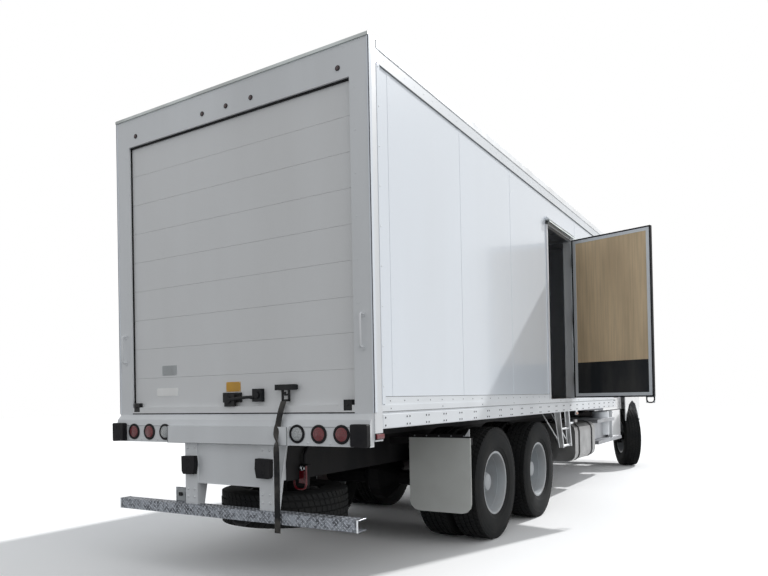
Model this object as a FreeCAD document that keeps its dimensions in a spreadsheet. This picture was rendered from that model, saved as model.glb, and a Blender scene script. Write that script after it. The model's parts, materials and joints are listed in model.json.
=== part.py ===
import FreeCAD, Part
import math
import os
import re

import Sketcher
from FreeCAD import Rotation, Vector

# Rigid tandem-axle box truck. +X is the right-hand side, +Y is forward and +Z is up.
# Inside the document x is measured from the centreline, y from the rear face of the rear
# frame and z from the ground. Every finished piece is then moved by the same offset, so that
# the origin lies under the middle of the truck with its side door as it stands open.

doc = FreeCAD.newDocument("BoxTruck")
sheet = doc.addObject("Spreadsheet::Sheet", "Sizes")

# Driving sizes in millimetres and degrees
SIZES = {
    # cargo box
    "body_width": 2550,
    "box_length": 7380,
    "box_height": 2471,
    "upper_rail_depth": 160,
    "lower_rail_depth": 158,
    "rail_groove_low": 60,
    "rail_groove_high": 110,
    "rail_groove_slope": 6,
    "floor_thickness": 29,
    "wall_thickness": 30,
    "rail_proud": 10,
    "rail_flange": 60,
    "roof_thickness": 15,
    "roof_bow_depth": 35,
    "roof_bow_width": 50,
    "roof_bow_pitch": 610,
    "front_corner_radius": 150,
    "cross_sill_height": 100,
    "cross_sill_width": 50,
    "cross_sill_pitch": 610,
    "long_sill_width": 80,
    "long_sill_height": 155,
    # rear frame and its overhead door
    "frame_depth": 100,
    "rear_post_width": 155,
    "header_depth": 255,
    "threshold_depth": 54,
    "post_foot_height": 185,
    "post_foot_width": 125,
    "door_recess": 30,
    "door_thickness": 40,
    "door_sections": 9,
    "door_clearance": 3,
    "door_backing_depth": 10,
    "door_backing_inset": 60,
    "track_width": 60,
    "track_reach": 2400,
    "track_foot": 300,
    # rear sill beam and its lamps
    "sill_overhang": 50,
    "sill_end_inset": 10,
    "sill_height": 220,
    "sill_face_height": 132,
    "sill_ledge_height": 180,
    "sill_ledge_depth": 12,
    "sill_plate_proud": 36,
    "lamp_rise": 82,
    "lamp_radius": 54,
    "plate_gap": 3,
    "grommet_radius": 64,
    "grommet_proud": 6,
    "lamp_proud": 8,
    "outer_lamp_inset": 223,
    "lamp_pitch": 187,
    "header_lamp_drop": 175,
    "header_lamp_radius": 16,
    "header_lamp_proud": 10,
    "header_lamp_inner_x": 250,
    "header_lamp_inset": 90,
    "marker_length": 110,
    "marker_height": 35,
    "marker_proud": 14,
    "marker_rise": 15,
    "dock_bumper_width": 130,
    "dock_bumper_height": 155,
    "dock_bumper_depth": 45,
    # underride hanger and step bumper
    "hanger_half_width": 445,
    "hanger_post_width": 130,
    "post_top_depth": 175,
    "post_low_depth": 75,
    "hanger_panel_height": 305,
    "hanger_panel_thickness": 10,
    "hanger_panel_recess": 12,
    "gusset_reach": 205,
    "gusset_thickness": 10,
    "step_half_width": 1180,
    "step_rear": 90,
    "step_depth": 105,
    "step_drop": 556,
    "step_height": 80,
    "step_wall": 6,
    "notch_gap": 2,
    "post_buffer_drop": 170,
    "post_buffer_height": 145,
    "post_buffer_depth": 42,
    "plate_bracket_x": 565,
    "plate_bracket_width": 120,
    "plate_bracket_rise": 112,
    "plate_bracket_thickness": 5,
    # door hardware
    "latch_rise": 36,
    "latch_height": 75,
    "latch_half_width": 90,
    "latch_proud": 20,
    "hasp_half_width": 50,
    "hasp_proud": 45,
    "latch_arm_length": 130,
    "latch_arm_height": 20,
    "latch_end_length": 90,
    "latch_end_height": 100,
    "handle_x": 535,
    "handle_half_width": 95,
    "handle_rise": 116,
    "handle_height": 45,
    "handle_proud": 45,
    "handle_bar_depth": 20,
    "buckle_half_width": 36,
    "buckle_depth": 15,
    "stop_width": 68,
    "stop_height": 52,
    "stop_inset": 22,
    "grab_inset": 80,
    "grab_bottom": 380,
    "grab_length": 240,
    "grab_radius": 9,
    "grab_standoff": 40,
    "strap_x": 520,
    "strap_width": 50,
    "strap_thickness": 3,
    # chassis
    "rail_drop": 40,
    "rail_web_x": 430,
    "rail_height": 270,
    "rail_thickness": 8,
    "rail_flange_width": 75,
    "crossmember_height": 200,
    "crossmember_width": 60,
    "cab_mount_length": 120,
    "coupling_width": 125,
    "coupling_height": 170,
    "coupling_depth": 50,
    "tow_hook_length": 220,
    "tow_hook_depth": 40,
    # wheels
    "tyre_radius": 525,
    "tyre_width": 280,
    "tyre_shoulder_width": 268,
    "tyre_shoulder_drop": 45,
    "tyre_tread_width": 170,
    "tyre_belly_radius": 405,
    "rim_seat_width": 194,
    "rim_seat_radius": 286,
    "rim_lip_radius": 306,
    "rim_lip_width": 14,
    "rim_wall": 12,
    "dish_radius": 185,
    "dish_wall": 14,
    "hub_radius": 88,
    "hub_end_radius": 74,
    "hub_reach": 45,
    "hub_floor": 42,
    "drum_radius": 210,
    "drum_width": 190,
    "drum_offset": 60,
    "drum_gap": 7,
    "spindle_radius": 45,
    "bearing_clearance": 0.05,
    "wheel_inset": 30,
    "dual_space": 55,
    "front_face_offset": 115,
    "front_hub_reach": 70,
    "drive_axle_y": 2280,
    "tandem_spacing": 1300,
    "front_overhang": 720,
    "front_wheel_inset": 275,
    "kingpin_offset": 180,
    "kingpin_radius": 24,
    "kingpin_boss_radius": 45,
    "kingpin_boss_height": 120,
    "knuckle_ear": 35,
    "knuckle_gap": 5,
    "knuckle_web": 30,
    "park_steer_angle": 25,
    "mudflap_y": 1650,
    "mudflap_inset": 35,
    "mudflap_drop": 30,
    "mudflap_width": 600,
    "mudflap_height": 660,
    "mudflap_thickness": 8,
    "mudflap_corner": 90,
    "flap_hanger_depth": 40,
    "flap_hanger_height": 60,
    # axles and springs
    "axle_tube_radius": 75,
    "axle_bowl_radius": 215,
    "axle_bowl_width": 400,
    "axle_bowl_crown": 60,
    "spring_width": 80,
    "spring_seat_half": 60,
    "spring_pad_half": 110,
    "drive_spring_thickness": 70,
    "drive_spring_rise": 90,
    "front_beam_height": 100,
    "front_beam_width": 90,
    "front_spring_length": 1300,
    "front_spring_thickness": 45,
    "front_spring_eye": 90,
    "front_spring_pad": 300,
    # engine and driveline
    "engine_gap": 30,
    "engine_length": 730,
    "engine_half_width": 300,
    "engine_height": 720,
    "engine_drop": 250,
    "gearbox_length": 820,
    "gearbox_half_width": 200,
    "gearbox_drop": 370,
    "gearbox_gap": 25,
    "sump_length": 400,
    "engine_mount_width": 60,
    "radiator_gap": 180,
    "radiator_thickness": 80,
    "radiator_half_width": 340,
    "shroud_radius": 270,
    "shroud_length": 120,
    "shaft_radius": 52,
    "pinion_rise": 75,
    "pinion_radius": 85,
    "pinion_reach": 290,
    # tank, steps, exhaust and air tanks
    "tank_length": 1100,
    "tank_height": 510,
    "tank_width": 590,
    "tank_gap": 130,
    "tank_drop": 60,
    "tank_corner": 110,
    "filler_radius": 45,
    "filler_height": 40,
    "tank_strap_width": 50,
    "tank_strap_thickness": 6,
    "tank_strap_inset": 180,
    "tank_to_steps": 350,
    "step_box_length": 1200,
    "step_box_height": 380,
    "step_box_drop": 60,
    "step_box_lead": 710,
    "step_box_out": 70,
    "step_tread_depth": 150,
    "step_tread_thickness": 50,
    "low_step_back": 360,
    "air_tank_x": 290,
    "air_tank_radius": 120,
    "air_tank_length": 700,
    "air_tank_lead": 900,
    "air_hanger_width": 60,
    "muffler_radius": 130,
    "muffler_length": 1000,
    "muffler_gap": 60,
    "muffler_to_steps": 150,
    "tail_pipe_radius": 50,
    "tail_pipe_length": 300,
    "tail_pipe_end": 1150,
    "muffler_carrier": 50,
    # cab
    "cab_gap": 180,
    "cab_length": 1400,
    "cab_lift": 65,
    "cab_half_width": 1040,
    "cab_roof_inset": 110,
    "belt_rise": 725,
    "cab_height": 1585,
    "cab_roof_setback": 540,
    "cab_edge": 90,
    "cab_wall": 45,
    "glass_inset": 18,
    "glass_thickness": 6,
    "cab_door_setback": 220,
    "cab_door_lead": 260,
    "cab_door_rise": 205,
    "cab_door_head": 140,
    "cab_door_gap": 8,
    "window_rise": 40,
    "window_margin": 90,
    "windshield_half_width": 880,
    "windshield_rise": 100,
    "windshield_head": 140,
    "rear_window_half_width": 620,
    "rear_window_rise": 150,
    "rear_window_head": 260,
    "cab_hinge_out": 20,
    "cab_hinge_forward": 12,
    "cab_hinge_radius": 10,
    "cab_hinge_height": 40,
    "mirror_gap": 90,
    "mirror_width": 160,
    "mirror_height": 440,
    "mirror_depth": 60,
    "mirror_setback": 140,
    "mirror_arm": 30,
    "seat_width": 500,
    "seat_x": 500,
    "seat_back": 140,
    "seat_lean": 60,
    "seat_height": 340,
    "seat_back_height": 1030,
    "seat_depth": 560,
    "dash_depth": 395,
    "wheel_ring_radius": 236,
    "wheel_ring_width": 32,
    "column_radius": 25,
    "column_length": 230,
    "column_tilt": 50,
    # hood
    "hood_gap": 25,
    "hood_length": 1345,
    "hood_drop": 190,
    "hood_rear_drop": 20,
    "hood_nose": 330,
    "hood_brow": 60,
    "hood_slope": 280,
    "hood_half_width": 1110,
    "hood_centre_half_width": 560,
    "hood_wall": 12,
    "fender_crown": 165,
    "arch_gap": 165,
    "grille_half_width": 420,
    "grille_rise": 80,
    "grille_head": 220,
    "grille_bars": 5,
    "grille_bar_height": 24,
    "grille_frame": 30,
    "grille_proud": 8,
    "headlamp_x": 800,
    "headlamp_rise": 240,
    "headlamp_width": 300,
    "headlamp_height": 200,
    "hood_hinge_forward": 30,
    "hood_hinge_drop": 60,
    "hood_hinge_radius": 14,
    "hood_arm_half_width": 30,
    "hood_arm_x": 315,
    "bumper_gap": 20,
    "bumper_depth": 110,
    "bumper_half_width": 1060,
    "bumper_drop": 610,
    "bumper_height": 320,
    "bumper_wall": 8,
    "bumper_sweep": 60,
    "chassis_nose_gap": 70,
    # side door
    "side_door_lead": 350,
    "side_door_width": 1010,
    "side_door_head": 465,
    "side_frame_width": 40,
    "leaf_thickness": 40,
    "leaf_gap": 9,
    "lining_thickness": 6,
    "side_hinge_out": 30,
    "side_hinge_radius": 14,
    "side_hinge_length": 180,
    "side_hinge_gap": 2,
    "side_hinge_clearance": 0.3,
    "side_hinge_strap": 140,
    "side_door_open_angle": 76,
    "leaf_edge_width": 50,
    "drip_rise": 45,
    "drip_height": 45,
    "drip_proud": 35,
    "hook_width": 100,
    "hook_height": 75,
    "hook_bar": 10,
    "hook_proud": 14,
    # side ladder
    "ladder_inset": 35,
    "ladder_lead": 360,
    "ladder_length": 490,
    "ladder_height": 436,
    "ladder_rung_gap": 200,
    "ladder_tube_radius": 14,
    "ladder_rung_radius": 11,
    "brace_width": 16,
    "brace_depth": 24,
    "brace_lead": 640,
}

# Places that follow from the driving sizes, each worked out where it is used
PLACES = {
    # heights, from the ground up
    "rail_top": "2 * tyre_radius - rail_drop",
    "rail_bottom": "rail_top - rail_height",
    "cross_sill_bottom": "rail_top + long_sill_height",
    "plank_bottom": "cross_sill_bottom + cross_sill_height",
    "floor_top": "plank_bottom + floor_thickness",
    "roof_top": "floor_top + box_height",
    "lower_rail_bottom": "floor_top - lower_rail_depth",
    "upper_rail_bottom": "roof_top - upper_rail_depth",
    "frame_bottom": "floor_top - threshold_depth",
    "post_foot_bottom": "frame_bottom - post_foot_height",
    "door_top": "roof_top - header_depth",
    "header_lamp_z": "roof_top - header_lamp_drop",
    "sill_bottom": "frame_bottom - sill_height",
    "sill_ledge": "sill_bottom + sill_ledge_height",
    "sill_face_top": "sill_bottom + sill_face_height",
    "lamp_z": "sill_bottom + lamp_rise",
    "hanger_panel_bottom": "sill_bottom - hanger_panel_height",
    "post_buffer_z": "sill_bottom - post_buffer_drop",
    "step_bottom": "sill_bottom - step_drop",
    "step_top": "step_bottom + step_height",
    "side_door_top": "roof_top - side_door_head",
    "mudflap_top": "rail_top - mudflap_drop",
    "mudflap_bottom": "mudflap_top - mudflap_height",
    "tank_top": "rail_top - tank_drop",
    "tank_bottom": "tank_top - tank_height",
    "step_box_top": "rail_top - step_box_drop",
    "step_box_bottom": "step_box_top - step_box_height",
    "pinion_z": "tyre_radius + pinion_rise",
    "engine_bottom": "rail_top - engine_drop",
    "engine_top": "engine_bottom + engine_height",
    "gearbox_bottom": "rail_top - gearbox_drop",
    "gearbox_top": "cab_bottom - gearbox_gap",
    "air_tank_z": "rail_bottom - air_tank_radius",
    "muffler_z": "rail_bottom + muffler_gap",
    "cab_bottom": "rail_top + cab_lift",
    "cab_beltline": "cab_bottom + belt_rise",
    "cab_roof": "cab_bottom + cab_height",
    "cab_door_bottom": "cab_bottom + cab_door_rise",
    "cab_door_top": "cab_roof - cab_door_head",
    "window_sill": "cab_beltline + window_rise",
    "windshield_bottom": "cab_beltline + windshield_rise",
    "windshield_top": "cab_roof - windshield_head",
    "rear_window_bottom": "cab_beltline + rear_window_rise",
    "rear_window_top": "cab_roof - rear_window_head",
    "hood_bottom": "rail_top - hood_drop",
    "hood_rear_top": "cab_beltline - hood_rear_drop",
    "hood_front_top": "hood_rear_top - hood_slope",
    "arch_radius": "tyre_radius + arch_gap",
    "fender_top": "tyre_radius + arch_radius + fender_crown",
    "hood_hinge_z": "hood_bottom - hood_hinge_drop",
    "grille_bottom": "hood_bottom + grille_rise",
    "grille_top": "hood_front_top - grille_head",
    "headlamp_z": "hood_bottom + headlamp_rise",
    "bumper_bottom": "rail_top - bumper_drop",
    "bumper_top": "bumper_bottom + bumper_height",
    "latch_bottom": "floor_top + latch_rise",
    "handle_bottom": "floor_top + handle_rise",
    "ladder_bottom": "lower_rail_bottom - ladder_height",
    "ladder_rung_z": "lower_rail_bottom - ladder_rung_gap",
    # distances forward of the rear frame
    "rail_rear": "post_top_depth - sill_overhang",
    "mid_axle_y": "drive_axle_y + tandem_spacing",
    "tandem_centre": "drive_axle_y + tandem_spacing / 2",
    "box_inside_front": "box_length - wall_thickness",
    "corner_start": "box_length - front_corner_radius",
    "cab_rear": "box_length + cab_gap",
    "cab_front": "cab_rear + cab_length",
    "cab_roof_front": "cab_front - cab_roof_setback",
    "cab_door_rear": "cab_rear + cab_door_setback",
    "cab_door_front": "cab_front - cab_door_lead",
    "hood_rear": "cab_front + hood_gap",
    "hood_front": "hood_rear + hood_length",
    "hood_hinge_y": "hood_front + hood_hinge_forward",
    "bumper_rear": "hood_front + bumper_gap",
    "bumper_front": "bumper_rear + bumper_depth",
    "chassis_front": "bumper_rear - chassis_nose_gap",
    "front_axle_y": "hood_front - front_overhang",
    "engine_rear": "cab_front + engine_gap",
    "engine_front": "engine_rear + engine_length",
    "gearbox_rear": "engine_rear - gearbox_length",
    "radiator_rear": "engine_front + radiator_gap",
    "step_box_rear": "cab_rear - step_box_lead",
    "low_step_front": "cab_front - low_step_back",
    "tank_rear": "step_box_rear - tank_to_steps - tank_length",
    "muffler_rear": "step_box_rear - muffler_to_steps - muffler_length",
    "air_tank_rear": "mid_axle_y + air_tank_lead",
    "side_door_rear": "mid_axle_y + side_door_lead",
    "side_door_front": "side_door_rear + side_door_width",
    "ladder_rear": "side_door_rear + ladder_lead",
    "ladder_front": "ladder_rear + ladder_length",
    "mirror_rear": "cab_door_front - mirror_setback",
    # distances out from the centreline
    "half_width": "body_width / 2",
    "wall_outer": "half_width - rail_proud",
    "wall_inner": "wall_outer - wall_thickness",
    "door_half_width": "half_width - rear_post_width",
    "sill_half_width": "half_width - sill_end_inset",
    "outer_lamp_x": "sill_half_width - outer_lamp_inset",
    "inner_lamp_x": "outer_lamp_x - lamp_pitch",
    "clear_lamp_x": "inner_lamp_x - lamp_pitch",
    "sill_plate_half_width": "clear_lamp_x - grommet_radius - plate_gap",
    "header_lamp_outer_x": "door_half_width - header_lamp_inset",
    "rail_inside_x": "rail_web_x - rail_thickness",
    "rail_lip_x": "rail_web_x - rail_flange_width",
    "tyre_half": "tyre_width / 2",
    "seat_half": "rim_seat_width / 2",
    "dual_half_gap": "(tyre_width + dual_space) / 2",
    "dual_centre_x": "half_width - wheel_inset - tyre_half - dual_half_gap",
    "axle_end_x": "dual_centre_x - drum_offset - drum_width - drum_gap",
    "front_wheel_x": "half_width - front_wheel_inset",
    "kingpin_x": "front_wheel_x - kingpin_offset",
    "mudflap_outer_x": "half_width - mudflap_inset",
    "mudflap_inner_x": "mudflap_outer_x - mudflap_width",
    "tank_inner_x": "rail_web_x + tank_gap",
    "tank_outer_x": "tank_inner_x + tank_width",
    "step_box_outer_x": "cab_half_width + step_box_out",
    "muffler_x": "rail_web_x + muffler_radius + muffler_gap",
    "cab_roof_half_width": "cab_half_width - cab_roof_inset",
    "mirror_inner_x": "cab_half_width + mirror_gap",
    "mirror_outer_x": "mirror_inner_x + mirror_width",
    "cab_hinge_x": "cab_half_width + cab_hinge_out",
    "cab_hinge_y": "cab_door_front + cab_hinge_forward",
    "ladder_x": "half_width - ladder_inset",
    "side_hinge_x": "half_width + side_hinge_out",
    "leaf_width": "side_door_width - leaf_gap",
    # The origin lies half-way along the truck, and half-way between its left mirror and the
    # free edge of the open side door
    "leaf_reach": "leaf_width * sin(side_door_open_angle * 1deg) - side_hinge_out * cos(side_door_open_angle * 1deg)",
    "origin_x": "(side_hinge_x + leaf_reach - mirror_outer_x) / 2",
    "origin_y": "(bumper_front - step_rear) / 2",
}

for row, (name, size) in enumerate(SIZES.items(), 1):
    sheet.set("A%d" % row, name)
    sheet.set("B%d" % row, str(size))
    sheet.setAlias("B%d" % row, name)
doc.recompute()

WHEEL_SIDES = 14
ROUND_SIDES = 12
SIDES = ((-1, "Left"), (1, "Right"))
finished = []


def written_out(word):
    if word[0] in PLACES:
        return "(" + bound(PLACES[word[0]]) + ")"
    return "Sizes." + word[0] if word[0] in SIZES else word[0]


def bound(text):
    """Expression text in which each place is worked out and each size is looked up in the sheet."""
    return re.sub(r"[a-z][a-z_]*", written_out, str(text))


def value(text):
    """The number that an expression of named sizes gives now."""
    return float(sheet.evalExpression(bound(text)))


def span(side, near, far):
    """The stretch between two distances from the centreline, on one side of it."""
    return (near, far) if side > 0 else (f"-({far})", f"-({near})")


def along(start, length):
    """The stretch that starts at a place and has a length."""
    return (start, f"{start} + {length}")


def about(centre, half):
    """The stretch of a half width each way from its centre."""
    return (f"{centre} - ({half})", f"{centre} + ({half})")


def block(name, x, y, z):
    """A box between two expressions along each axis."""
    box = doc.addObject("Part::Box", name)
    for side, axis, (low, high) in (("Length", "x", x), ("Width", "y", y), ("Height", "z", z)):
        box.setExpression(side, bound(f"({high}) - ({low})"))
        box.setExpression("Placement.Base." + axis, bound(low))
    return box


TURNS = {
    "X": Rotation(Vector(0, 1, 0), 90),
    "Y": Rotation(Vector(1, 0, 0), -90),
    "Z": Rotation(),
}


def rod(name, axis, start, radius, length):
    """A round bar that starts at a point and runs along one axis."""
    bar = doc.addObject("Part::Cylinder", name)
    bar.setExpression("Radius", bound(radius))
    bar.setExpression("Height", bound(length))
    bar.Placement.Rotation = TURNS[axis]
    for letter, text in zip("xyz", start):
        bar.setExpression("Placement.Base." + letter, bound(text))
    return bar


def bar(name, axis, start, radius, length, sides=8):
    """A many-sided bar that starts at a point and runs along one axis."""
    shape = doc.addObject("Part::Prism", name)
    shape.Polygon = sides
    shape.setExpression("Circumradius", bound(radius))
    shape.setExpression("Height", bound(length))
    shape.Placement.Rotation = TURNS[axis]
    for letter, text in zip("xyz", start):
        shape.setExpression("Placement.Base." + letter, bound(text))
    return shape


def turned(name, section, centre=("0", "0")):
    """A turning about the X axis with flat sides, from a section of distances along and out from the axis.

    A section that starts and ends on the axis gives a solid, and any other is closed into a ring. One
    flat side faces the ground, at the section's own radius.
    """
    spots = [(value(across), value(radius)) for across, radius in section]
    ring = spots[0][1] > 0
    widen = 1 / math.cos(math.pi / WHEEL_SIDES)
    corners = []
    for across, radius in spots:
        angles = [math.pi * (2 * side + 1) / WHEEL_SIDES for side in range(WHEEL_SIDES)]
        corners.append([Vector(across, widen * radius * math.sin(turn), -widen * radius * math.cos(turn))
                        for turn in angles] if radius > 0 else [Vector(across, 0, 0)])
    faces = []
    for near, far in zip(corners, corners[1:] + corners[:1] if ring else corners[1:]):
        if len(near) == 1 or len(far) == 1:
            cap = near if len(far) == 1 else far
            faces.append(Part.Face(Part.makePolygon(cap + cap[:1])))
            continue
        for side in range(WHEEL_SIDES):
            after = (side + 1) % WHEEL_SIDES
            faces.append(Part.Face(Part.makePolygon([near[side], near[after], far[after], far[side], near[side]])))
    skin = Part.makeCompound(faces)
    skin.sewShape()
    solid = Part.makeSolid(skin.Shells[0])
    if solid.Volume < 0:
        solid.reverse()
    shape = doc.addObject("Part::Feature", name)
    shape.Shape = solid
    shape.setExpression("Placement.Base.y", bound(centre[0]))
    shape.setExpression("Placement.Base.z", bound(centre[1]))
    return shape


def cut(name, base, tool):
    shape = doc.addObject("Part::Cut", name)
    shape.Base = base
    shape.Tool = tool
    return shape


def fuse(name, *pieces):
    shape = doc.addObject("Part::MultiFuse", name)
    shape.Shapes = list(pieces)
    shape.Refine = True
    return shape


def common(name, *pieces):
    shape = doc.addObject("Part::MultiCommon", name)
    shape.Shapes = list(pieces)
    return shape


def outline(body, name, plane, points):
    """A closed sketch whose corners are held by expressions along the sketch's two axes."""
    sketch = body.newObject("Sketcher::SketchObject", name)
    face = [feature for feature in body.Origin.OriginFeatures if feature.Role == plane + "_Plane"][0]
    sketch.AttachmentSupport = [(face, "")]
    sketch.MapMode = "FlatFace"
    spots = [(value(across), value(up)) for across, up in points]
    count = len(points)
    for index, spot in enumerate(spots):
        after = spots[(index + 1) % count]
        sketch.addGeometry(Part.LineSegment(Vector(*spot, 0), Vector(*after, 0)), False)
    for index in range(count):
        sketch.addConstraint(Sketcher.Constraint("Coincident", index, 2, (index + 1) % count, 1))
    for index, (across, up) in enumerate(points):
        for kind, text, number in (("DistanceX", across, spots[index][0]), ("DistanceY", up, spots[index][1])):
            held = sketch.addConstraint(Sketcher.Constraint(kind, -1, 1, index, 1, number))
            sketch.setExpression(f"Constraints[{held}]", bound(text))
    return sketch


def prism(name, plane, points, start, length):
    """A body padded from an outline, from a start plane and for a length along the plane's axis."""
    body = doc.addObject("PartDesign::Body", name)
    sketch = outline(body, name + "Outline", plane, points)
    offset = f"-({start})" if plane == "XZ" else start
    sketch.setExpression("AttachmentOffset.Base.z", bound(offset))
    pad = body.newObject("PartDesign::Pad", name + "Pad")
    pad.Profile = sketch
    pad.Reversed = plane == "XZ"
    pad.setExpression("Length", bound(length))
    return body


# Spots on a rounded corner, as shares of its radius in from the corner along each axis
CORNER_SPOTS = ((0, 1), (0.134, 0.5), (0.5, 0.134), (1, 0))


def eased(corner, radius, inward, upward):
    """Outline points that round one corner, from its upright side to its level one."""
    return [(f"{corner[0]} + {inward * across} * {radius}", f"{corner[1]} + {upward * up} * {radius}")
            for across, up in CORNER_SPOTS]


def round_edges(body, name, radius, chosen):
    """Rounds the edges of a body that a test picks."""
    doc.recompute()
    tip = body.Tip
    edges = [f"Edge{index}" for index, edge in enumerate(tip.Shape.Edges, 1) if chosen(edge)]
    fillet = body.newObject("PartDesign::Fillet", name)
    fillet.Base = (tip, edges)
    fillet.setExpression("Radius", bound(radius))
    return body


def runs_along(edge, axis):
    """True for a straight edge along one axis."""
    if edge.Curve.TypeId != "Part::GeomLine":
        return False
    return abs(edge.Curve.Direction.dot(axis)) > 0.999


def finish(name, *pieces):
    """Makes a named sub-part of one or more solids, in the truck's own frame."""
    part = doc.addObject("Part::Compound", "Piece_" + name)
    part.Links = list(pieces)
    part.Label = name
    part.setExpression("Placement.Base.x", bound("-origin_x"))
    part.setExpression("Placement.Base.y", bound("-origin_y"))
    finished.append(part)
    return part


def finish_turned(name, pieces, pivot, angle):
    """Makes a sub-part modelled about its own pivot, then turned and moved to where it stands."""
    part = doc.addObject("Part::Compound", "Piece_" + name)
    part.Links = list(pieces)
    part.Label = name
    part.Placement.Rotation = Rotation(Vector(0, 0, 1), 1)
    part.setExpression("Placement.Rotation.Angle", bound(angle))
    part.setExpression("Placement.Base.x", bound(f"{pivot[0]} - origin_x"))
    part.setExpression("Placement.Base.y", bound(f"{pivot[1]} - origin_y"))
    part.setExpression("Placement.Base.z", bound(pivot[2]))
    finished.append(part)
    return part


# Cargo box

def cut_corner_sheet(half):
    """Outline of the floor or roof, with its front corners cut to clear the rounded front wall."""
    corner = "(front_corner_radius - wall_thickness)"
    side = f"box_inside_front - {corner}"
    return [(f"-({half})", "frame_depth"), (f"-({half})", side), (f"-({half}) + {corner}", "box_inside_front"),
            (f"{half} - {corner}", "box_inside_front"), (half, side), (half, "frame_depth")]


def cargo_floor():
    pieces = [prism("FloorPlank", "XY", cut_corner_sheet("wall_inner"), "plank_bottom", "floor_thickness")]
    count = int(value("(corner_start - frame_depth) / cross_sill_pitch")) + 1
    for index in range(count):
        rear = f"frame_depth + {index} * cross_sill_pitch"
        pieces.append(block(f"CrossSill{index}", ("-wall_inner", "wall_inner"), along(rear, "cross_sill_width"),
                            ("cross_sill_bottom", "plank_bottom")))
    for side, tag in SIDES:
        pieces.append(block(tag + "LongSill", span(side, "rail_web_x - long_sill_width", "rail_web_x"),
                            ("rail_rear", "box_inside_front"), ("rail_top", "cross_sill_bottom")))
    finish("cargo_floor", fuse("CargoFloor", *pieces))


def wall_sheet(tag, side):
    return block(tag + "Sheet", span(side, "wall_inner", "wall_outer"), ("frame_depth", "corner_start"),
                 ("floor_top", "upper_rail_bottom"))


def cargo_walls():
    finish("cargo_left_wall", wall_sheet("Left", -1))
    doorway_cut = block("DoorwayCut", ("0", "half_width"),
                        ("side_door_rear - side_frame_width", "side_door_front + side_frame_width"),
                        ("0", "side_door_top + side_frame_width"))
    finish("cargo_right_wall", cut("RightWall", wall_sheet("Right", 1), doorway_cut))


def cargo_front_wall():
    points = [("-wall_outer", "corner_start"), ("-wall_inner", "corner_start"), ("-wall_inner", "box_inside_front"),
              ("wall_inner", "box_inside_front"), ("wall_inner", "corner_start"), ("wall_outer", "corner_start"),
              ("wall_outer", "box_length"), ("-wall_outer", "box_length")]
    wall = prism("FrontWall", "XY", points, "lower_rail_bottom", "roof_top - lower_rail_bottom")
    nose = value("box_length")
    round_edges(wall, "FrontCorners", "front_corner_radius - 1",
                lambda edge: runs_along(edge, Vector(0, 0, 1)) and abs(edge.Vertexes[0].Y - nose) < 1)
    behind = value("box_inside_front")
    round_edges(wall, "FrontInnerCorners", "front_corner_radius - 1 - wall_thickness",
                lambda edge: runs_along(edge, Vector(0, 0, 1)) and abs(edge.Vertexes[0].Y - behind) < 1)
    finish("cargo_front_wall", wall)


def cargo_roof():
    top = "(roof_top - rail_proud)"
    sheet_bottom = f"({top} - roof_thickness)"
    pieces = [prism("RoofSheet", "XY", cut_corner_sheet("half_width - rail_flange"), sheet_bottom, "roof_thickness")]
    count = int(value("(corner_start - frame_depth) / roof_bow_pitch"))
    for index in range(count):
        rear = f"frame_depth + {index + 1} * roof_bow_pitch"
        pieces.append(block(f"RoofBow{index}", ("-wall_inner", "wall_inner"), along(rear, "roof_bow_width"),
                            (f"{sheet_bottom} - roof_bow_depth", sheet_bottom)))
    finish("cargo_roof", fuse("CargoRoof", *pieces))


def upper_rail(tag, side):
    outer, inner = f"{side} * half_width", f"{side} * wall_outer"
    flange = f"{side} * (half_width - rail_flange)"
    points = [(outer, "upper_rail_bottom"), (outer, "roof_top"), (flange, "roof_top"), (flange, "roof_top - rail_proud"),
              (inner, "roof_top - rail_proud"), (inner, "upper_rail_bottom")]
    rail = prism(tag + "UpperRail", "XZ", points, "frame_depth", "corner_start - frame_depth")
    edge_x = value(outer)
    top = value("roof_top")
    return round_edges(rail, tag + "UpperRailRound", "rail_proud - 1",
                       lambda edge: runs_along(edge, Vector(0, 1, 0)) and abs(edge.Vertexes[0].X - edge_x) < 1
                       and abs(edge.Vertexes[0].Z - top) < 1)


def lower_rail(tag, side):
    outer, inner = f"{side} * half_width", f"{side} * wall_inner"
    groove = f"{side} * (half_width - rail_proud / 2)"
    low = "(lower_rail_bottom + rail_groove_low)"
    high = "(lower_rail_bottom + rail_groove_high)"
    points = [(outer, "lower_rail_bottom"), (outer, low), (groove, f"{low} + rail_groove_slope"), (groove, high),
              (outer, f"{high} + rail_groove_slope"), (outer, "floor_top"), (inner, "floor_top"),
              (inner, "lower_rail_bottom")]
    return prism(tag + "LowerRail", "XZ", points, "frame_depth", "corner_start - frame_depth")


def cargo_rails():
    finish("cargo_rails", *[rail(tag, side) for side, tag in SIDES for rail in (upper_rail, lower_rail)])


# Rear frame and overhead door

def rear_frame():
    depth = ("0", "frame_depth")
    ring = block("FrameRing", ("-half_width", "half_width"), depth, ("frame_bottom", "roof_top"))
    opening = block("FrameOpening", ("-door_half_width", "door_half_width"), ("-1", "frame_depth + 1"),
                    ("floor_top", "door_top"))
    feet = [block(tag + "Foot", span(side, "half_width - post_foot_width", "half_width"), depth,
                  ("post_foot_bottom", "frame_bottom")) for side, tag in SIDES]
    finish("rear_frame", fuse("RearFrame", cut("FrameOpened", ring, opening), *feet))


HEADER_LAMPS = ("-header_lamp_outer_x", "-header_lamp_inner_x", "0", "header_lamp_inner_x", "header_lamp_outer_x")


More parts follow.
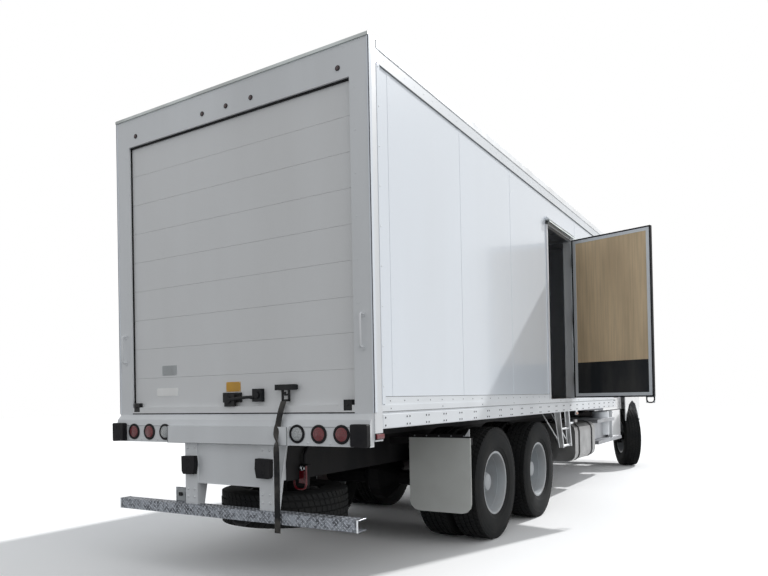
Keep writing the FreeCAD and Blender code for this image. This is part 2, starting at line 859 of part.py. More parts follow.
def overhead_door():
    pitch = "((door_top - floor_top) / door_sections)"
    half = "(door_half_width - door_clearance)"
    rear = "(door_recess + door_thickness)"
    panels = []
    for index in range(int(value("door_sections"))):
        bottom = f"floor_top + {index} * {pitch}"
        panels.append(block(f"DoorSection{index}", (f"-{half}", half), ("door_recess", rear),
                            (bottom, f"{bottom} + {pitch} - door_clearance")))
    backing = block("DoorBacking", (f"-{half} + door_backing_inset", f"{half} - door_backing_inset"),
                    along(rear, "door_backing_depth"), ("floor_top + door_clearance", "door_top - 2 * door_clearance"))
    finish("overhead_door", fuse("OverheadDoor", backing, *panels), *door_tracks())


def door_tracks():
    tracks = []
    for side, tag in SIDES:
        x = span(side, "wall_inner - track_width", "wall_inner")
        upright = block(tag + "Upright", x, along("frame_depth", "track_width"),
                        ("floor_top + track_foot", "upper_rail_bottom"))
        overhead = block(tag + "Overhead", x, along("frame_depth", "track_reach"),
                         ("upper_rail_bottom - track_width", "upper_rail_bottom"))
        tracks.append(fuse(tag + "Track", upright, overhead))
    return tracks


# Rear sill beam, lamps and rubbers

def rear_sill():
    points = [("-sill_overhang", "sill_bottom"), ("-sill_overhang", "sill_face_top"),
              ("-sill_overhang + sill_ledge_depth", "sill_ledge"), ("0", "frame_bottom"), ("0", "sill_bottom")]
    beam = prism("SillBeam", "YZ", points, "-sill_half_width", "2 * sill_half_width")
    plate = block("SillPlate", ("-sill_plate_half_width", "sill_plate_half_width"),
                  ("-sill_overhang - sill_plate_proud", "-sill_overhang"), ("sill_bottom", "sill_face_top"))
    finish("rear_sill", fuse("RearSill", beam, plate))


def round_lamps():
    lenses = {"clear_lamp_x": [], "inner_lamp_x": [], "outer_lamp_x": []}
    grommets = []
    grommet_rear = "-sill_overhang - grommet_proud"
    for side, tag in SIDES:
        for word, pieces in lenses.items():
            x = f"{side} * {word}"
            name = tag + word.split("_")[0].title()
            pieces.append(bar(name + "Lens", "Y", (x, f"{grommet_rear} - lamp_proud", "lamp_z"), "lamp_radius",
                              "lamp_proud", ROUND_SIDES))
            grommets.append(bar(name + "Grommet", "Y", (x, grommet_rear, "lamp_z"), "grommet_radius", "grommet_proud",
                                ROUND_SIDES))
    finish("red_lamps", *lenses["inner_lamp_x"], *lenses["outer_lamp_x"], *marker_lamps())
    finish("reverse_lamps", *lenses["clear_lamp_x"])
    finish("rear_rubbers", *grommets, *rubber_buffers())


def marker_lamps():
    markers = [bar(f"HeaderLamp{index}", "Y", (x, "-header_lamp_proud", "header_lamp_z"), "header_lamp_radius",
                   "header_lamp_proud") for index, x in enumerate(HEADER_LAMPS)]
    z = along("post_foot_bottom + marker_rise", "marker_height")
    for side, tag in SIDES:
        markers.append(block(tag + "Marker", span(side, "half_width", "half_width + marker_proud"),
                             about("frame_depth / 2", "marker_length / 2 - marker_rise / 2"), z))
    return markers


def rubber_buffers():
    pads = []
    post_rear = "-sill_overhang"
    for side, tag in SIDES:
        pads.append(block(tag + "DockBumper", span(side, "sill_half_width - dock_bumper_width", "sill_half_width"),
                          (f"{post_rear} - dock_bumper_depth", post_rear), along("sill_bottom", "dock_bumper_height")))
        low, high = about("post_buffer_z", "post_buffer_height / 2")
        rear = f"{post_rear} - post_buffer_depth"
        points = [(post_rear, low), (rear, f"{low} + post_buffer_depth / 3"), (rear, high), (post_rear, high)]
        start = span(side, "hanger_half_width - hanger_post_width", "hanger_half_width")[0]
        pads.append(prism(tag + "PostBuffer", "YZ", points, start, "hanger_post_width"))
    return pads


# Underride hanger and step bumper

def bumper_hanger():
    rear = "-sill_overhang"
    foot = "step_bottom + step_wall"
    post = [(rear, foot), (rear, "sill_bottom"), (f"{rear} + post_top_depth", "sill_bottom"),
            (f"{rear} + post_low_depth", "step_top"), (f"{rear} + post_low_depth", foot)]
    pieces = []
    for side, tag in SIDES:
        start = span(side, "hanger_half_width - hanger_post_width", "hanger_half_width")[0]
        pieces.append(prism(tag + "Post", "YZ", post, start, "hanger_post_width"))
        pieces.append(block(tag + "Gusset", span(side, "rail_inside_x - gusset_thickness", "rail_inside_x"),
                            (f"{rear} + post_low_depth", "rail_rear + gusset_reach"),
                            ("rail_bottom + rail_thickness", "rail_top - rail_thickness")))
    panel_rear = f"{rear} + hanger_panel_recess"
    half = "hanger_half_width - hanger_post_width"
    panel = block("HangerPanel", (f"-({half})", half), along(panel_rear, "hanger_panel_thickness"),
                  ("hanger_panel_bottom", "sill_bottom"))
    finish("bumper_hanger", fuse("BumperHanger", panel, *pieces))


def step_bumper():
    rear, front = "-step_rear", "(step_depth - step_rear)"
    points = [(front, "step_bottom"), (rear, "step_bottom"), (rear, "step_top"), (front, "step_top"),
              (front, "step_top - step_wall"), (f"{rear} + step_wall", "step_top - step_wall"),
              (f"{rear} + step_wall", "step_bottom + step_wall"), (front, "step_bottom + step_wall")]
    channel = prism("StepChannel", "YZ", points, "-step_half_width", "2 * step_half_width")
    plate = block("PlateBracket", about("-plate_bracket_x", "plate_bracket_width / 2"),
                  along(front, "plate_bracket_thickness"), ("step_bottom", "step_top + plate_bracket_rise"))
    notches = [block(tag + "Notch", span(side, "hanger_half_width - hanger_post_width - notch_gap",
                                         "hanger_half_width + notch_gap"),
                     ("-sill_overhang - notch_gap", f"{front} + 1"), ("step_bottom + step_wall", "step_top + 1"))
               for side, tag in SIDES]
    notched = cut("StepNotched", channel, fuse("PostNotches", *notches))
    finish("step_bumper", fuse("StepBumper", notched, plate))


# Latch, handle, stops, grab handles and strap

def rear_latch():
    face = "door_recess"
    front = f"{face} - latch_proud"
    middle = "latch_bottom + latch_height - latch_arm_height"
    return fuse("RearLatch",
                block("LatchPlate", ("-latch_half_width", "latch_half_width"), (front, face),
                      along("latch_bottom", "latch_height")),
                block("LatchHasp", ("-hasp_half_width", "hasp_half_width"), (f"{face} - hasp_proud", front),
                      ("floor_top + door_clearance", "latch_bottom + latch_height - latch_arm_height")),
                block("LatchArm", along("latch_half_width", "latch_arm_length"), (front, face),
                      along(middle, "latch_arm_height")),
                block("LatchEnd", along("latch_half_width + latch_arm_length", "latch_end_length"),
                      (front, face), along("latch_bottom", "latch_end_height")))


def pull_handle():
    front = "door_recess - handle_proud"
    behind = f"{front} + handle_bar_depth"
    return fuse("PullHandle",
                block("HandleBar", about("handle_x", "handle_half_width"), (front, behind),
                      along("handle_bottom", "handle_height")),
                block("HandleStandoff", about("handle_x", "buckle_half_width"), (behind, "door_recess"),
                      ("latch_bottom", "handle_bottom + handle_height")),
                block("StrapBuckle", about("handle_x", "buckle_half_width"), (f"{behind} - buckle_depth", behind),
                      ("latch_bottom", "handle_bottom")))


def door_fittings():
    pieces = [rear_latch(), pull_handle()]
    for side, tag in SIDES:
        pieces.append(block(tag + "DoorStop", span(side, "door_half_width - stop_inset - stop_width",
                                                   "door_half_width - stop_inset"),
                            ("door_clearance", "door_recess"), along("floor_top", "stop_height")))
        x = f"{side} * (half_width - grab_inset)"
        z = "floor_top + grab_bottom"
        grip = bar(tag + "GrabBar", "Z", (x, "-grab_standoff", z), "grab_radius", "grab_length")
        feet = [bar(f"{tag}GrabFoot{index}", "Y", (x, "-grab_standoff", f"{z} + {rise}"), "grab_radius",
                    "grab_standoff") for index, rise in enumerate(("grab_radius", "grab_length - grab_radius"))]
        pieces.append(fuse(tag + "GrabHandle", grip, *feet))
    finish("door_fittings", *pieces)


# The strap's route down from the buckle, forward of the rear frame and up from the ground
STRAP_ROUTE = ((-9, 1333), (-104, 1170), (-99, 785), (-103, 405))


def ribbon(name, points, x, width, thickness):
    """A flat band of straight runs joined by tangent arcs, in one plane across the truck."""
    spots = [Vector(0, across, up) for across, up in points]
    edges = []
    start = spots[0]
    for before, corner, after in zip(spots, spots[1:], spots[2:]):
        back, ahead = before - corner, after - corner
        bend = math.pi - back.getAngle(ahead)
        reach = 0.45 * min(back.Length, ahead.Length)
        radius = reach / math.tan(bend / 2)
        print("strap bend %.0f degrees, radius %.0f mm" % (math.degrees(bend), radius))
        enter = corner + back.normalize() * reach
        leave = corner + ahead.normalize() * reach
        inward = (back + ahead).normalize()
        middle = corner + inward * radius * (1 / math.cos(bend / 2) - 1)
        edges += [Part.LineSegment(start, enter).toShape(), Part.Arc(enter, middle, leave).toShape()]
        start = leave
    edges.append(Part.LineSegment(start, spots[-1]).toShape())
    wire = Part.Wire(edges)
    print("strap length %.0f mm" % wire.Length)
    band = wire.makeOffset2D(thickness, join=2, fill=True, openResult=True)
    shape = doc.addObject("Part::Feature", name)
    shape.Shape = band.extrude(Vector(width, 0, 0))
    shape.setExpression("Placement.Base.x", bound(x))
    return shape


def pull_strap():
    strap = ribbon("PullStrap", STRAP_ROUTE, "strap_x - strap_width / 2", value("strap_width"), value("strap_thickness"))
    finish("pull_strap", strap)


# Chassis

def channel_rail(tag, side):
    web, inside, lip = f"{side} * rail_web_x", f"{side} * rail_inside_x", f"{side} * rail_lip_x"
    under, over = "(rail_bottom + rail_thickness)", "(rail_top - rail_thickness)"
    points = [(web, "rail_bottom"), (web, "rail_top"), (lip, "rail_top"), (lip, over), (inside, over),
              (inside, under), (lip, under), (lip, "rail_bottom")]
    return prism(tag + "Rail", "XZ", points, "rail_rear", "chassis_front - rail_rear")


CROSSMEMBERS = ("rail_rear + 375", "mudflap_y - 400", "tandem_centre - crossmember_width / 2", "air_tank_rear - 130",
                "tank_rear + 200", "step_box_rear + 50", "gearbox_rear - 110", "chassis_front - crossmember_width")


def chassis_frame():
    pieces = [channel_rail(tag, side) for side, tag in SIDES]
    for index, rear in enumerate(CROSSMEMBERS):
        pieces.append(block(f"Crossmember{index}", ("-rail_inside_x", "rail_inside_x"),
                            along(rear, "crossmember_width"),
                            along("rail_bottom + rail_thickness", "crossmember_height - rail_thickness")))
    finish("chassis_frame", fuse("ChassisFrame", *pieces))


def frame_brackets():
    finish("frame_brackets", *mudflap_hangers(), *tank_straps(), *air_tanks(), *cab_mounts(), *rear_brackets())


def mudflap_hangers():
    return [block(tag + "FlapHanger", span(side, "rail_web_x", "mudflap_outer_x"),
                  along("mudflap_y + mudflap_thickness", "flap_hanger_depth"),
                  ("mudflap_top - flap_hanger_height", "mudflap_top")) for side, tag in SIDES]


def tank_straps():
    straps = []
    rears = ("tank_rear + tank_strap_inset", "tank_rear + tank_length - tank_strap_inset - tank_strap_width")
    for index, rear in enumerate(rears):
        band = tank_form(f"StrapBand{index}", rear, "tank_strap_width", "tank_strap_thickness")
        inside = tank_form(f"StrapInside{index}", f"{rear} - 1", "tank_strap_width + 2")
        holder = block(f"TankBracket{index}", ("rail_web_x", "tank_inner_x"), along(rear, "tank_strap_width"),
                       ("tank_bottom", "rail_top - tank_drop"))
        straps.append(fuse(f"TankHolder{index}", cut(f"TankStrap{index}", band, inside), holder))
    return straps


def air_tanks():
    tanks = []
    for side, tag in SIDES:
        tank = bar(tag + "AirTank", "Y", (f"{side} * air_tank_x", "air_tank_rear", "air_tank_z"), "air_tank_radius",
                   "air_tank_length", ROUND_SIDES)
        hangers = [block(f"{tag}TankHanger{index}", span(side, "air_tank_x", "rail_inside_x"), along(rear, "air_hanger_width"),
                         ("air_tank_z", "rail_bottom"))
                   for index, rear in enumerate(("air_tank_rear + air_hanger_width",
                                                 "air_tank_rear + air_tank_length - 2 * air_hanger_width"))]
        tanks.append(fuse(tag + "AirTankHung", tank, *hangers))
    return tanks


def cab_mounts():
    mounts = []
    for side, tag in SIDES:
        for index, rear in enumerate(("cab_rear + cab_mount_length", "cab_front - 2 * cab_mount_length")):
            mounts.append(block(f"{tag}CabMount{index}", span(side, "rail_lip_x", "rail_web_x"),
                                along(rear, "cab_mount_length"), ("rail_top", "cab_bottom")))
    return mounts


def rear_brackets():
    """The coupling bracket behind the right-hand rail, and the tow hook under the step bumper."""
    coupling = block("Coupling", ("rail_lip_x - coupling_width", "rail_lip_x"),
                     (f"{CROSSMEMBERS[0]} - coupling_depth", CROSSMEMBERS[0]),
                     along("rail_bottom - coupling_depth * 2", "coupling_height"))
    front = "(step_depth - step_rear)"
    hook = prism("TowHook", "XZ", [("0", "step_bottom"), ("tow_hook_length", "step_bottom"),
                                   ("tow_hook_length * 0.7", "step_bottom - tow_hook_depth"),
                                   ("tow_hook_length * 0.3", "step_bottom - tow_hook_depth")],
                 f"{front} - step_depth / 2", "step_depth / 2 - step_wall")
    return [coupling, hook]


def front_bumper():
    far, bend = "bumper_half_width", "bumper_half_width - bumper_sweep"
    swept = "bumper_front - bumper_sweep / 3"
    outer = [(far, "bumper_rear"), (bend, swept), ("rail_web_x", "bumper_front")]
    inner = [("rail_web_x", "bumper_front - bumper_wall"), (f"{bend} - bumper_wall", f"{swept} - bumper_wall"),
             (f"{far} - bumper_wall", "bumper_rear")]
    left_outer = [(f"-({x})", y) for x, y in reversed(outer)]
    left_inner = [(f"-({x})", y) for x, y in reversed(inner)]
    shell = prism("BumperShell", "XY", outer + left_outer + left_inner + inner, "bumper_bottom", "bumper_height")
    horns, pins = [], []
    for side, tag in SIDES:
        horns.append(block(tag + "Horn", span(side, "rail_lip_x", "rail_web_x"),
                           ("chassis_front", "bumper_front - bumper_wall"),
                           ("bumper_top - 2 * hood_hinge_drop", "hood_hinge_z + 2 * hood_hinge_radius")))
        start, end = span(side, "hood_arm_x - hood_arm_half_width - hood_hinge_radius", "rail_lip_x + 1")
        pins.append(bar(tag + "HoodPin", "X", (start, "hood_hinge_y", "hood_hinge_z"), "hood_hinge_radius",
                        f"{end} - ({start})", ROUND_SIDES))
    finish("front_bumper", fuse("FrontBumper", shell, *horns, *pins))


# Axles and springs

def front_axle():
    beam_top = "(tyre_radius + front_beam_height / 2)"
    pieces = [block("FrontBeam", ("-kingpin_x", "kingpin_x"), about("front_axle_y", "front_beam_width / 2"),
                    ("tyre_radius - front_beam_height / 2", beam_top))]
    bores = []
    half = "front_spring_length / 2"
    for side, tag in SIDES:
        spot = f"{side} * kingpin_x"
        pieces.append(bar(tag + "KingpinBoss", "Z", (spot, "front_axle_y", "tyre_radius - kingpin_boss_height / 2"),
                          "kingpin_boss_radius", "kingpin_boss_height", ROUND_SIDES))
        bores.append(rod(tag + "KingpinBore", "Z", (spot, "front_axle_y", "tyre_radius - kingpin_boss_height"),
                         "kingpin_radius + bearing_clearance", "2 * kingpin_boss_height"))
        (rear, front), (rear_pad, front_pad) = about("front_axle_y", half), about("front_axle_y", "front_spring_pad / 2")
        arch = [(rear, "rail_bottom"), (f"{rear} + front_spring_eye", "rail_bottom"),
                (rear_pad, f"{beam_top} + front_spring_thickness"), (front_pad, f"{beam_top} + front_spring_thickness"),
                (f"{front} - front_spring_eye", "rail_bottom"), (front, "rail_bottom"),
                (front_pad, beam_top), (rear_pad, beam_top)]
        start = span(side, "rail_web_x - spring_width", "rail_web_x")[0]
        pieces.append(prism(tag + "FrontSpring", "YZ", arch, start, "spring_width"))
    finish("front_axle", cut("FrontAxle", fuse("FrontAxleSolid", *pieces), fuse("KingpinBores", *bores)))


AXLES = (("Rear", "drive_axle_y"), ("Mid", "mid_axle_y"))


def drive_axles():
    pieces = []
    spindle_end = "(dual_centre_x + dual_half_gap)"
    for tag, centre in AXLES:
        bowl = turned(tag + "Bowl", [("-axle_bowl_width / 2", "0"), ("-axle_bowl_width / 2", "axle_tube_radius"),
                                     ("-axle_bowl_crown", "axle_bowl_radius"), ("axle_bowl_crown", "axle_bowl_radius"),
                                     ("axle_bowl_width / 2", "axle_tube_radius"), ("axle_bowl_width / 2", "0")],
                      (centre, "tyre_radius"))
        tube = bar(tag + "AxleTube", "X", ("-axle_end_x", centre, "tyre_radius"), "axle_tube_radius",
                   "2 * axle_end_x")
        spindle = bar(tag + "Spindle", "X", (f"-{spindle_end}", centre, "tyre_radius"), "spindle_radius",
                      f"2 * {spindle_end}", ROUND_SIDES)
        nose = bar(tag + "PinionNose", "Y", ("0", centre, "pinion_z"), "pinion_radius", "pinion_reach")
        pieces.append(fuse(tag + "Axle", bowl, tube, spindle, nose))
    pieces.append(bar("ThroughNose", "Y", ("0", "mid_axle_y - pinion_reach", "pinion_z"), "pinion_radius",
                      "pinion_reach"))
    finish("drive_axles", fuse("DriveAxles", *pieces, *rear_suspension()))


def rear_suspension():
    axle_top = "(tyre_radius + axle_tube_radius)"
    middle_low, middle_high = about("tandem_centre", "spring_pad_half + drive_spring_thickness / 2")
    rear_low, rear_high = about("drive_axle_y", "spring_pad_half")
    mid_low, mid_high = about("mid_axle_y", "spring_pad_half")
    over = f"{axle_top} + drive_spring_thickness"
    leaf = [(rear_low, axle_top), (rear_high, axle_top), (middle_low, f"{axle_top} + drive_spring_rise"),
            (middle_high, f"{axle_top} + drive_spring_rise"), (mid_low, axle_top), (mid_high, axle_top),
            (mid_high, over), (middle_high, "rail_top - 2 * rail_drop"), (middle_low, "rail_top - 2 * rail_drop"),
            (rear_low, over)]
    pieces = []
    for side, tag in SIDES:
        x = span(side, "rail_web_x", "rail_web_x + spring_width")
        pieces.append(prism(tag + "TandemSpring", "YZ", leaf, x[0], "spring_width"))
        for place, centre in AXLES:
            pieces.append(block(f"{tag}{place}Seat", x, about(centre, "spring_seat_half"), ("tyre_radius", axle_top)))
    return pieces


# Wheels, each modelled about its own centre with the outer side towards +X

def mirrored(centre, half):
    """A section's points from its left side over to its right, the same distances each way from a centre."""
    left = [(f"{centre} - ({across})", radius) for across, radius in half]
    return left + [(f"{centre} + ({across})", radius) for across, radius in reversed(half)]


def tyre(name, centre):
    """Tyre ring from its bead over the sidewall, shoulder and tread, open at the rim seat."""
    return turned(name, mirrored(centre, [
        ("seat_half", "rim_seat_radius"), ("tyre_half", "tyre_belly_radius"),
        ("tyre_shoulder_width / 2", "tyre_radius - tyre_shoulder_drop"), ("tyre_tread_width / 2", "tyre_radius")]))


RIM_BORE = "(rim_seat_radius - rim_wall)"


def rim_barrel(centre):
    """A barrel's outer side from lip to lip."""
    lip = "seat_half + rim_lip_width"
    return mirrored(centre, [(lip, RIM_BORE), (lip, "rim_lip_radius"), ("seat_half", "rim_seat_radius")])


def dual_rims():
    """Two rims on one hub, with a hollow disc in the outer rim and the brake drum in the inner one."""
    drum_end, gap = "(drum_offset + drum_width)", "dual_half_gap"
    section = [(f"-{drum_end}", "0"), (f"-{drum_end}", "drum_radius"), ("-drum_offset", "drum_radius"),
               (f"-{gap} - seat_half", RIM_BORE), (f"-{gap} - seat_half", "rim_seat_radius"),
               (f"seat_half - {gap}", "rim_seat_radius"), ("0", "dish_radius"), (f"{gap} - seat_half - rim_lip_width", RIM_BORE)]
    section += rim_barrel(gap)[1:]
    section += [("dish_wall", "dish_radius - dish_wall"), ("dish_wall", "hub_radius"), (gap, "hub_radius"),
                (f"{gap} + hub_reach", "hub_end_radius"), (f"{gap} + hub_reach", "0")]
    bore = rod("HubBore", "X", (f"-{drum_end} - 1", "0", "0"), "spindle_radius + bearing_clearance",
               f"{drum_end} + 1 + {gap} + hub_reach - hub_floor")
    return cut("DualRims", turned("DualRimsSolid", section), bore)


def front_rim(centre):
    """Front rim with its disc near the outer side, on a long hub."""
    face = f"({centre} + front_face_offset)"
    section = [(f"{centre} - drum_offset", "0"), (f"{centre} - drum_offset", "hub_radius"),
               (f"{face} - dish_wall", "hub_radius"), (f"{face} - dish_wall", "dish_radius - dish_wall"), (centre, RIM_BORE)]
    section += rim_barrel(centre)
    section += [(f"{centre} + dish_wall", RIM_BORE), (face, "dish_radius"), (face, "hub_radius"),
                (f"{face} + front_hub_reach", "hub_end_radius"), (f"{face} + front_hub_reach", "0")]
    bore = rod("FrontBore", "X", (f"{centre} - drum_offset - 1", "0", "0"), "spindle_radius + bearing_clearance",
               "drum_offset + 1 + front_face_offset + front_hub_reach - hub_floor")
    return cut("FrontRim", turned("FrontRimSolid", section), bore)


DUALS = {
    "rear_left": (-1, "drive_axle_y"),
    "rear_right": (1, "drive_axle_y"),
    "mid_left": (-1, "mid_axle_y"),
    "mid_right": (1, "mid_axle_y"),
}


def drive_wheels():
    tyres = [tyre("InnerTyre", "-dual_half_gap"), tyre("OuterTyre", "dual_half_gap")]
    rims = [dual_rims()]
    for place, (side, y) in DUALS.items():
        pivot = (f"{side} * dual_centre_x", y, "tyre_radius")
        angle = "0" if side > 0 else "180"
        finish_turned(place + "_tyres", tyres, pivot, angle)
        finish_turned(place + "_rims", rims, pivot, angle)


def knuckle():
    """Kingpin with an ear above and below the axle end, and the spindle on the web between them."""
    boss_half = "kingpin_boss_height / 2"
    pin_half = f"({boss_half} + knuckle_gap + knuckle_ear)"
    web = "(kingpin_boss_radius + knuckle_gap)"
    across = ("-kingpin_boss_radius", "kingpin_boss_radius")
    pieces = [bar("Kingpin", "Z", ("0", "0", "-" + pin_half), "kingpin_radius", "2 * " + pin_half, ROUND_SIDES),
              block("KnuckleWeb", along(web, "knuckle_web"), across, ("-" + pin_half, pin_half)),
              bar("FrontSpindle", "X", (web, "0", "0"), "spindle_radius", f"kingpin_offset + front_face_offset - {web}",
                  ROUND_SIDES)]
    for side, ear in ((-1, "Lower"), (1, "Upper")):
        z = span(side, f"{boss_half} + knuckle_gap", pin_half)
        pieces.append(block(ear + "Ear", ("-kingpin_boss_radius", web), across, z))
    return fuse("Knuckle", *pieces)


def front_wheels():
    shapes = {"steering_knuckle_": knuckle(), "front_tyre_": tyre("FrontTyre", "kingpin_offset"),
              "front_rim_": front_rim("kingpin_offset")}
    for side, tag in SIDES:
        pivot = (f"{side} * kingpin_x", "front_axle_y", "tyre_radius")
        angle = "park_steer_angle" if side > 0 else "park_steer_angle + 180"
        for name, shape in shapes.items():
            finish_turned(name + tag.lower(), [shape], pivot, angle)


# What hangs on the chassis

def mudflaps():
    flaps = []
    for side, tag in SIDES:
        inner, outer = f"{side} * mudflap_inner_x", f"{side} * mudflap_outer_x"
        points = [(inner, "mudflap_top"), *eased((inner, "mudflap_bottom"), "mudflap_corner", side, 1),
                  *eased((outer, "mudflap_bottom"), "mudflap_corner", -side, 1)[::-1], (outer, "mudflap_top")]
        flaps.append(prism(tag + "Mudflap", "XZ", points, "mudflap_y", "mudflap_thickness"))
    finish("mudflaps", *flaps)


def tank_form(name, start, length, grow="0"):
    low_x, high_x, low_z, high_z = "tank_inner_x", "tank_outer_x", "tank_bottom", "tank_top"
    radius = f"(tank_corner + {grow})"
    points = eased((f"{low_x} - {grow}", f"{low_z} - {grow}"), radius, 1, 1)
    points += eased((f"{high_x} + {grow}", f"{low_z} - {grow}"), radius, -1, 1)[::-1]
    points += eased((f"{high_x} + {grow}", f"{high_z} + {grow}"), radius, -1, -1)
    points += eased((f"{low_x} - {grow}", f"{high_z} + {grow}"), radius, 1, -1)[::-1]
    return prism(name, "XZ", points, start, length)


def fuel_tank():
    filler = bar("TankFiller", "Z", ("tank_outer_x - tank_corner - filler_radius", "tank_rear + tank_length / 2",
                                     "tank_top - filler_height"), "filler_radius", "2 * filler_height", ROUND_SIDES)
    finish("fuel_tank", fuse("FuelTank", tank_form("Tank", "tank_rear", "tank_length"), filler))


def cab_steps():
    """Stepped box under each cab door: the upper tread stands back from the lower one."""
    sides = []
    y = along("step_box_rear", "step_box_length")
    for side, tag in SIDES:
        x = span(side, "rail_web_x", "step_box_outer_x")
        back = span(side, "rail_web_x", "step_box_outer_x - step_tread_depth")
        pieces = [block(tag + "StepBox", back, y, ("step_box_bottom + step_tread_thickness", "step_box_top")),
                  block(tag + "UpperTread", x, y, ("step_box_top - step_tread_thickness", "step_box_top")),
                  block(tag + "LowerTread", x, ("step_box_rear + step_tread_thickness", "low_step_front"),
                        along("step_box_bottom", "step_tread_thickness")),
                  block(tag + "StepFront", back, ("low_step_front - step_tread_thickness", "low_step_front"),
                        ("step_box_bottom", "step_box_top"))]
        sides.append(fuse(tag + "Steps", *pieces))
    finish("cab_steps", *sides)


def exhaust():
    x = "-muffler_x"
    muffler = bar("Muffler", "Y", (x, "muffler_rear", "muffler_z"), "muffler_radius", "muffler_length", ROUND_SIDES)
    tail = bar("TailPipe", "Y", (x, "muffler_rear - tail_pipe_length", "muffler_z"), "tail_pipe_radius",
               "tail_pipe_length + 1")
    outlet = bar("TailOutlet", "X", ("-tail_pipe_end", "muffler_rear - tail_pipe_length + tail_pipe_radius", "muffler_z"),
                 "tail_pipe_radius", "tail_pipe_end - muffler_x")
    carrier = block("MufflerCarrier", (x, "-rail_web_x"),
                    about("muffler_rear + muffler_length / 2", "muffler_carrier / 2"),
                    ("muffler_z + muffler_radius / 2", "rail_top - muffler_carrier"))
    finish("exhaust", fuse("Exhaust", muffler, tail, outlet, carrier))


def engine_block():
    half = ("-engine_half_width", "engine_half_width")
    narrow = ("-gearbox_half_width", "gearbox_half_width")
    engine = block("Engine", half, ("engine_rear", "engine_front"), ("engine_bottom", "engine_top"))
    sump = block("Sump", narrow, along("engine_rear", "sump_length"), ("gearbox_bottom", "engine_bottom"))
    gearbox = block("Gearbox", narrow, ("gearbox_rear", "engine_rear"), ("gearbox_bottom", "gearbox_top"))
    mount = block("EngineMounts", ("-rail_inside_x", "rail_inside_x"),
                  about("(engine_rear + engine_front) / 2", "engine_mount_width / 2"),
                  ("engine_bottom + engine_mount_width", "engine_bottom + 2 * engine_mount_width"))
    finish("engine_block", fuse("EngineAndGearbox", engine, sump, gearbox, mount, *propeller_shafts()))


def propeller_shafts():
    long_shaft = bar("LongShaft", "Y", ("0", "mid_axle_y + pinion_reach", "pinion_z"), "shaft_radius",
                     "gearbox_rear + 1 - mid_axle_y - pinion_reach")
    short_shaft = bar("ShortShaft", "Y", ("0", "drive_axle_y + pinion_reach", "pinion_z"), "shaft_radius",
                      "tandem_spacing - 2 * pinion_reach")
    return [long_shaft, short_shaft]


def radiator():
    y = along("radiator_rear", "radiator_thickness")
    core = block("RadiatorCore", ("-radiator_half_width", "radiator_half_width"), y,
                 ("rail_top - 2 * radiator_thickness", "grille_top + 3 * radiator_thickness / 2"))
    foot = block("RadiatorFoot", ("-rail_inside_x", "rail_inside_x"), y,
                 along("rail_top - 2 * radiator_thickness", "radiator_thickness"))
    shroud = bar("FanShroud", "Y", ("0", "radiator_rear - shroud_length", "rail_top + shroud_radius / 2"), "shroud_radius",
                 "shroud_length", ROUND_SIDES)
    finish("radiator", fuse("Radiator", core, foot, shroud))


# Cab

def cab_form(name, inset):
    """The cab's outer form drawn in by an inset: its side outline crossed with its end outline."""
    low, high = f"cab_bottom + {inset}", f"cab_roof - {inset}"
    edge = f"cab_roof - cab_edge - {inset}"
    slope = f"1.2 * {inset}"
    side = [(f"cab_rear + {inset}", low), (f"cab_rear + {inset}", edge), (f"cab_rear + cab_edge + {inset}", high),
            (f"cab_roof_front - {inset}", high), (f"cab_roof_front + cab_edge - {slope}", edge),
            (f"cab_front - cab_edge / 3 - {slope}", "cab_beltline"),
            (f"cab_front - {inset}", "cab_beltline - cab_edge / 2"), (f"cab_front - {inset}", low)]
    wide = f"(cab_half_width - {inset})"
    shoulder = f"(cab_roof_half_width + cab_edge / 3 - {inset})"
    narrow = f"(cab_roof_half_width - cab_edge * 2 / 3 - {inset})"
    right = [(narrow, high), (shoulder, edge), (wide, "cab_beltline"), (wide, low)]
    end = [(f"-{x}", z) for x, z in reversed(right)] + right
    across = prism(name + "Side", "YZ", side, "-cab_half_width - cab_edge", "2 * (cab_half_width + cab_edge)")
    lengthwise = prism(name + "End", "XZ", end, "cab_rear - cab_edge", "cab_length + 2 * cab_edge")
    return common(name, across, lengthwise)


def through_side(name, points, side):
    """A prism through one side of the cab."""
    reach = "cab_roof_inset + 2 * cab_gap"
    start = f"{side} * (cab_half_width + cab_gap / 2)" if side < 0 else f"cab_half_width + cab_gap / 2 - ({reach})"
    return prism(name, "YZ", points, start, reach)


def doorway(name, grow, side):
    """The doorway's outline, grown by a gap."""
    points = [(f"cab_door_rear - {grow}", f"cab_door_bottom - {grow}"), (f"cab_door_rear - {grow}", f"cab_door_top + {grow}"),
              (f"cab_door_front - cab_door_lead + {grow}", f"cab_door_top + {grow}"),
              (f"cab_door_front + {grow}", "cab_beltline + window_rise"), (f"cab_door_front + {grow}", f"cab_door_bottom - {grow}")]
    return through_side(name, points, side)


def side_window(name, side):
    rear, top = "cab_door_rear + window_margin", "cab_door_top - window_margin"
    points = [(rear, "window_sill"), (rear, top), ("cab_door_front - cab_door_lead - window_margin", top),
              ("cab_door_front - window_margin", "window_sill")]
    return through_side(name, points, side)


def windshield_opening(name):
    wide, narrow = "windshield_half_width", "(windshield_half_width - cab_edge * 2 / 3)"
    points = [(f"-{wide}", "windshield_bottom"), (f"-{narrow}", "windshield_top"), (narrow, "windshield_top"),
              (wide, "windshield_bottom")]
    return prism(name, "XZ", points, "cab_roof_front - cab_edge", "cab_roof_setback + 2 * cab_edge")


def rear_window_opening(name):
    half = "rear_window_half_width"
    points = [(f"-{half}", "rear_window_bottom"), (f"-{half}", "rear_window_top"), (half, "rear_window_top"),
              (half, "rear_window_bottom")]
    return prism(name, "XZ", points, "cab_rear - cab_edge", "3 * cab_edge")


CAB_HINGES = ("cab_beltline - 520", "cab_beltline - 180")


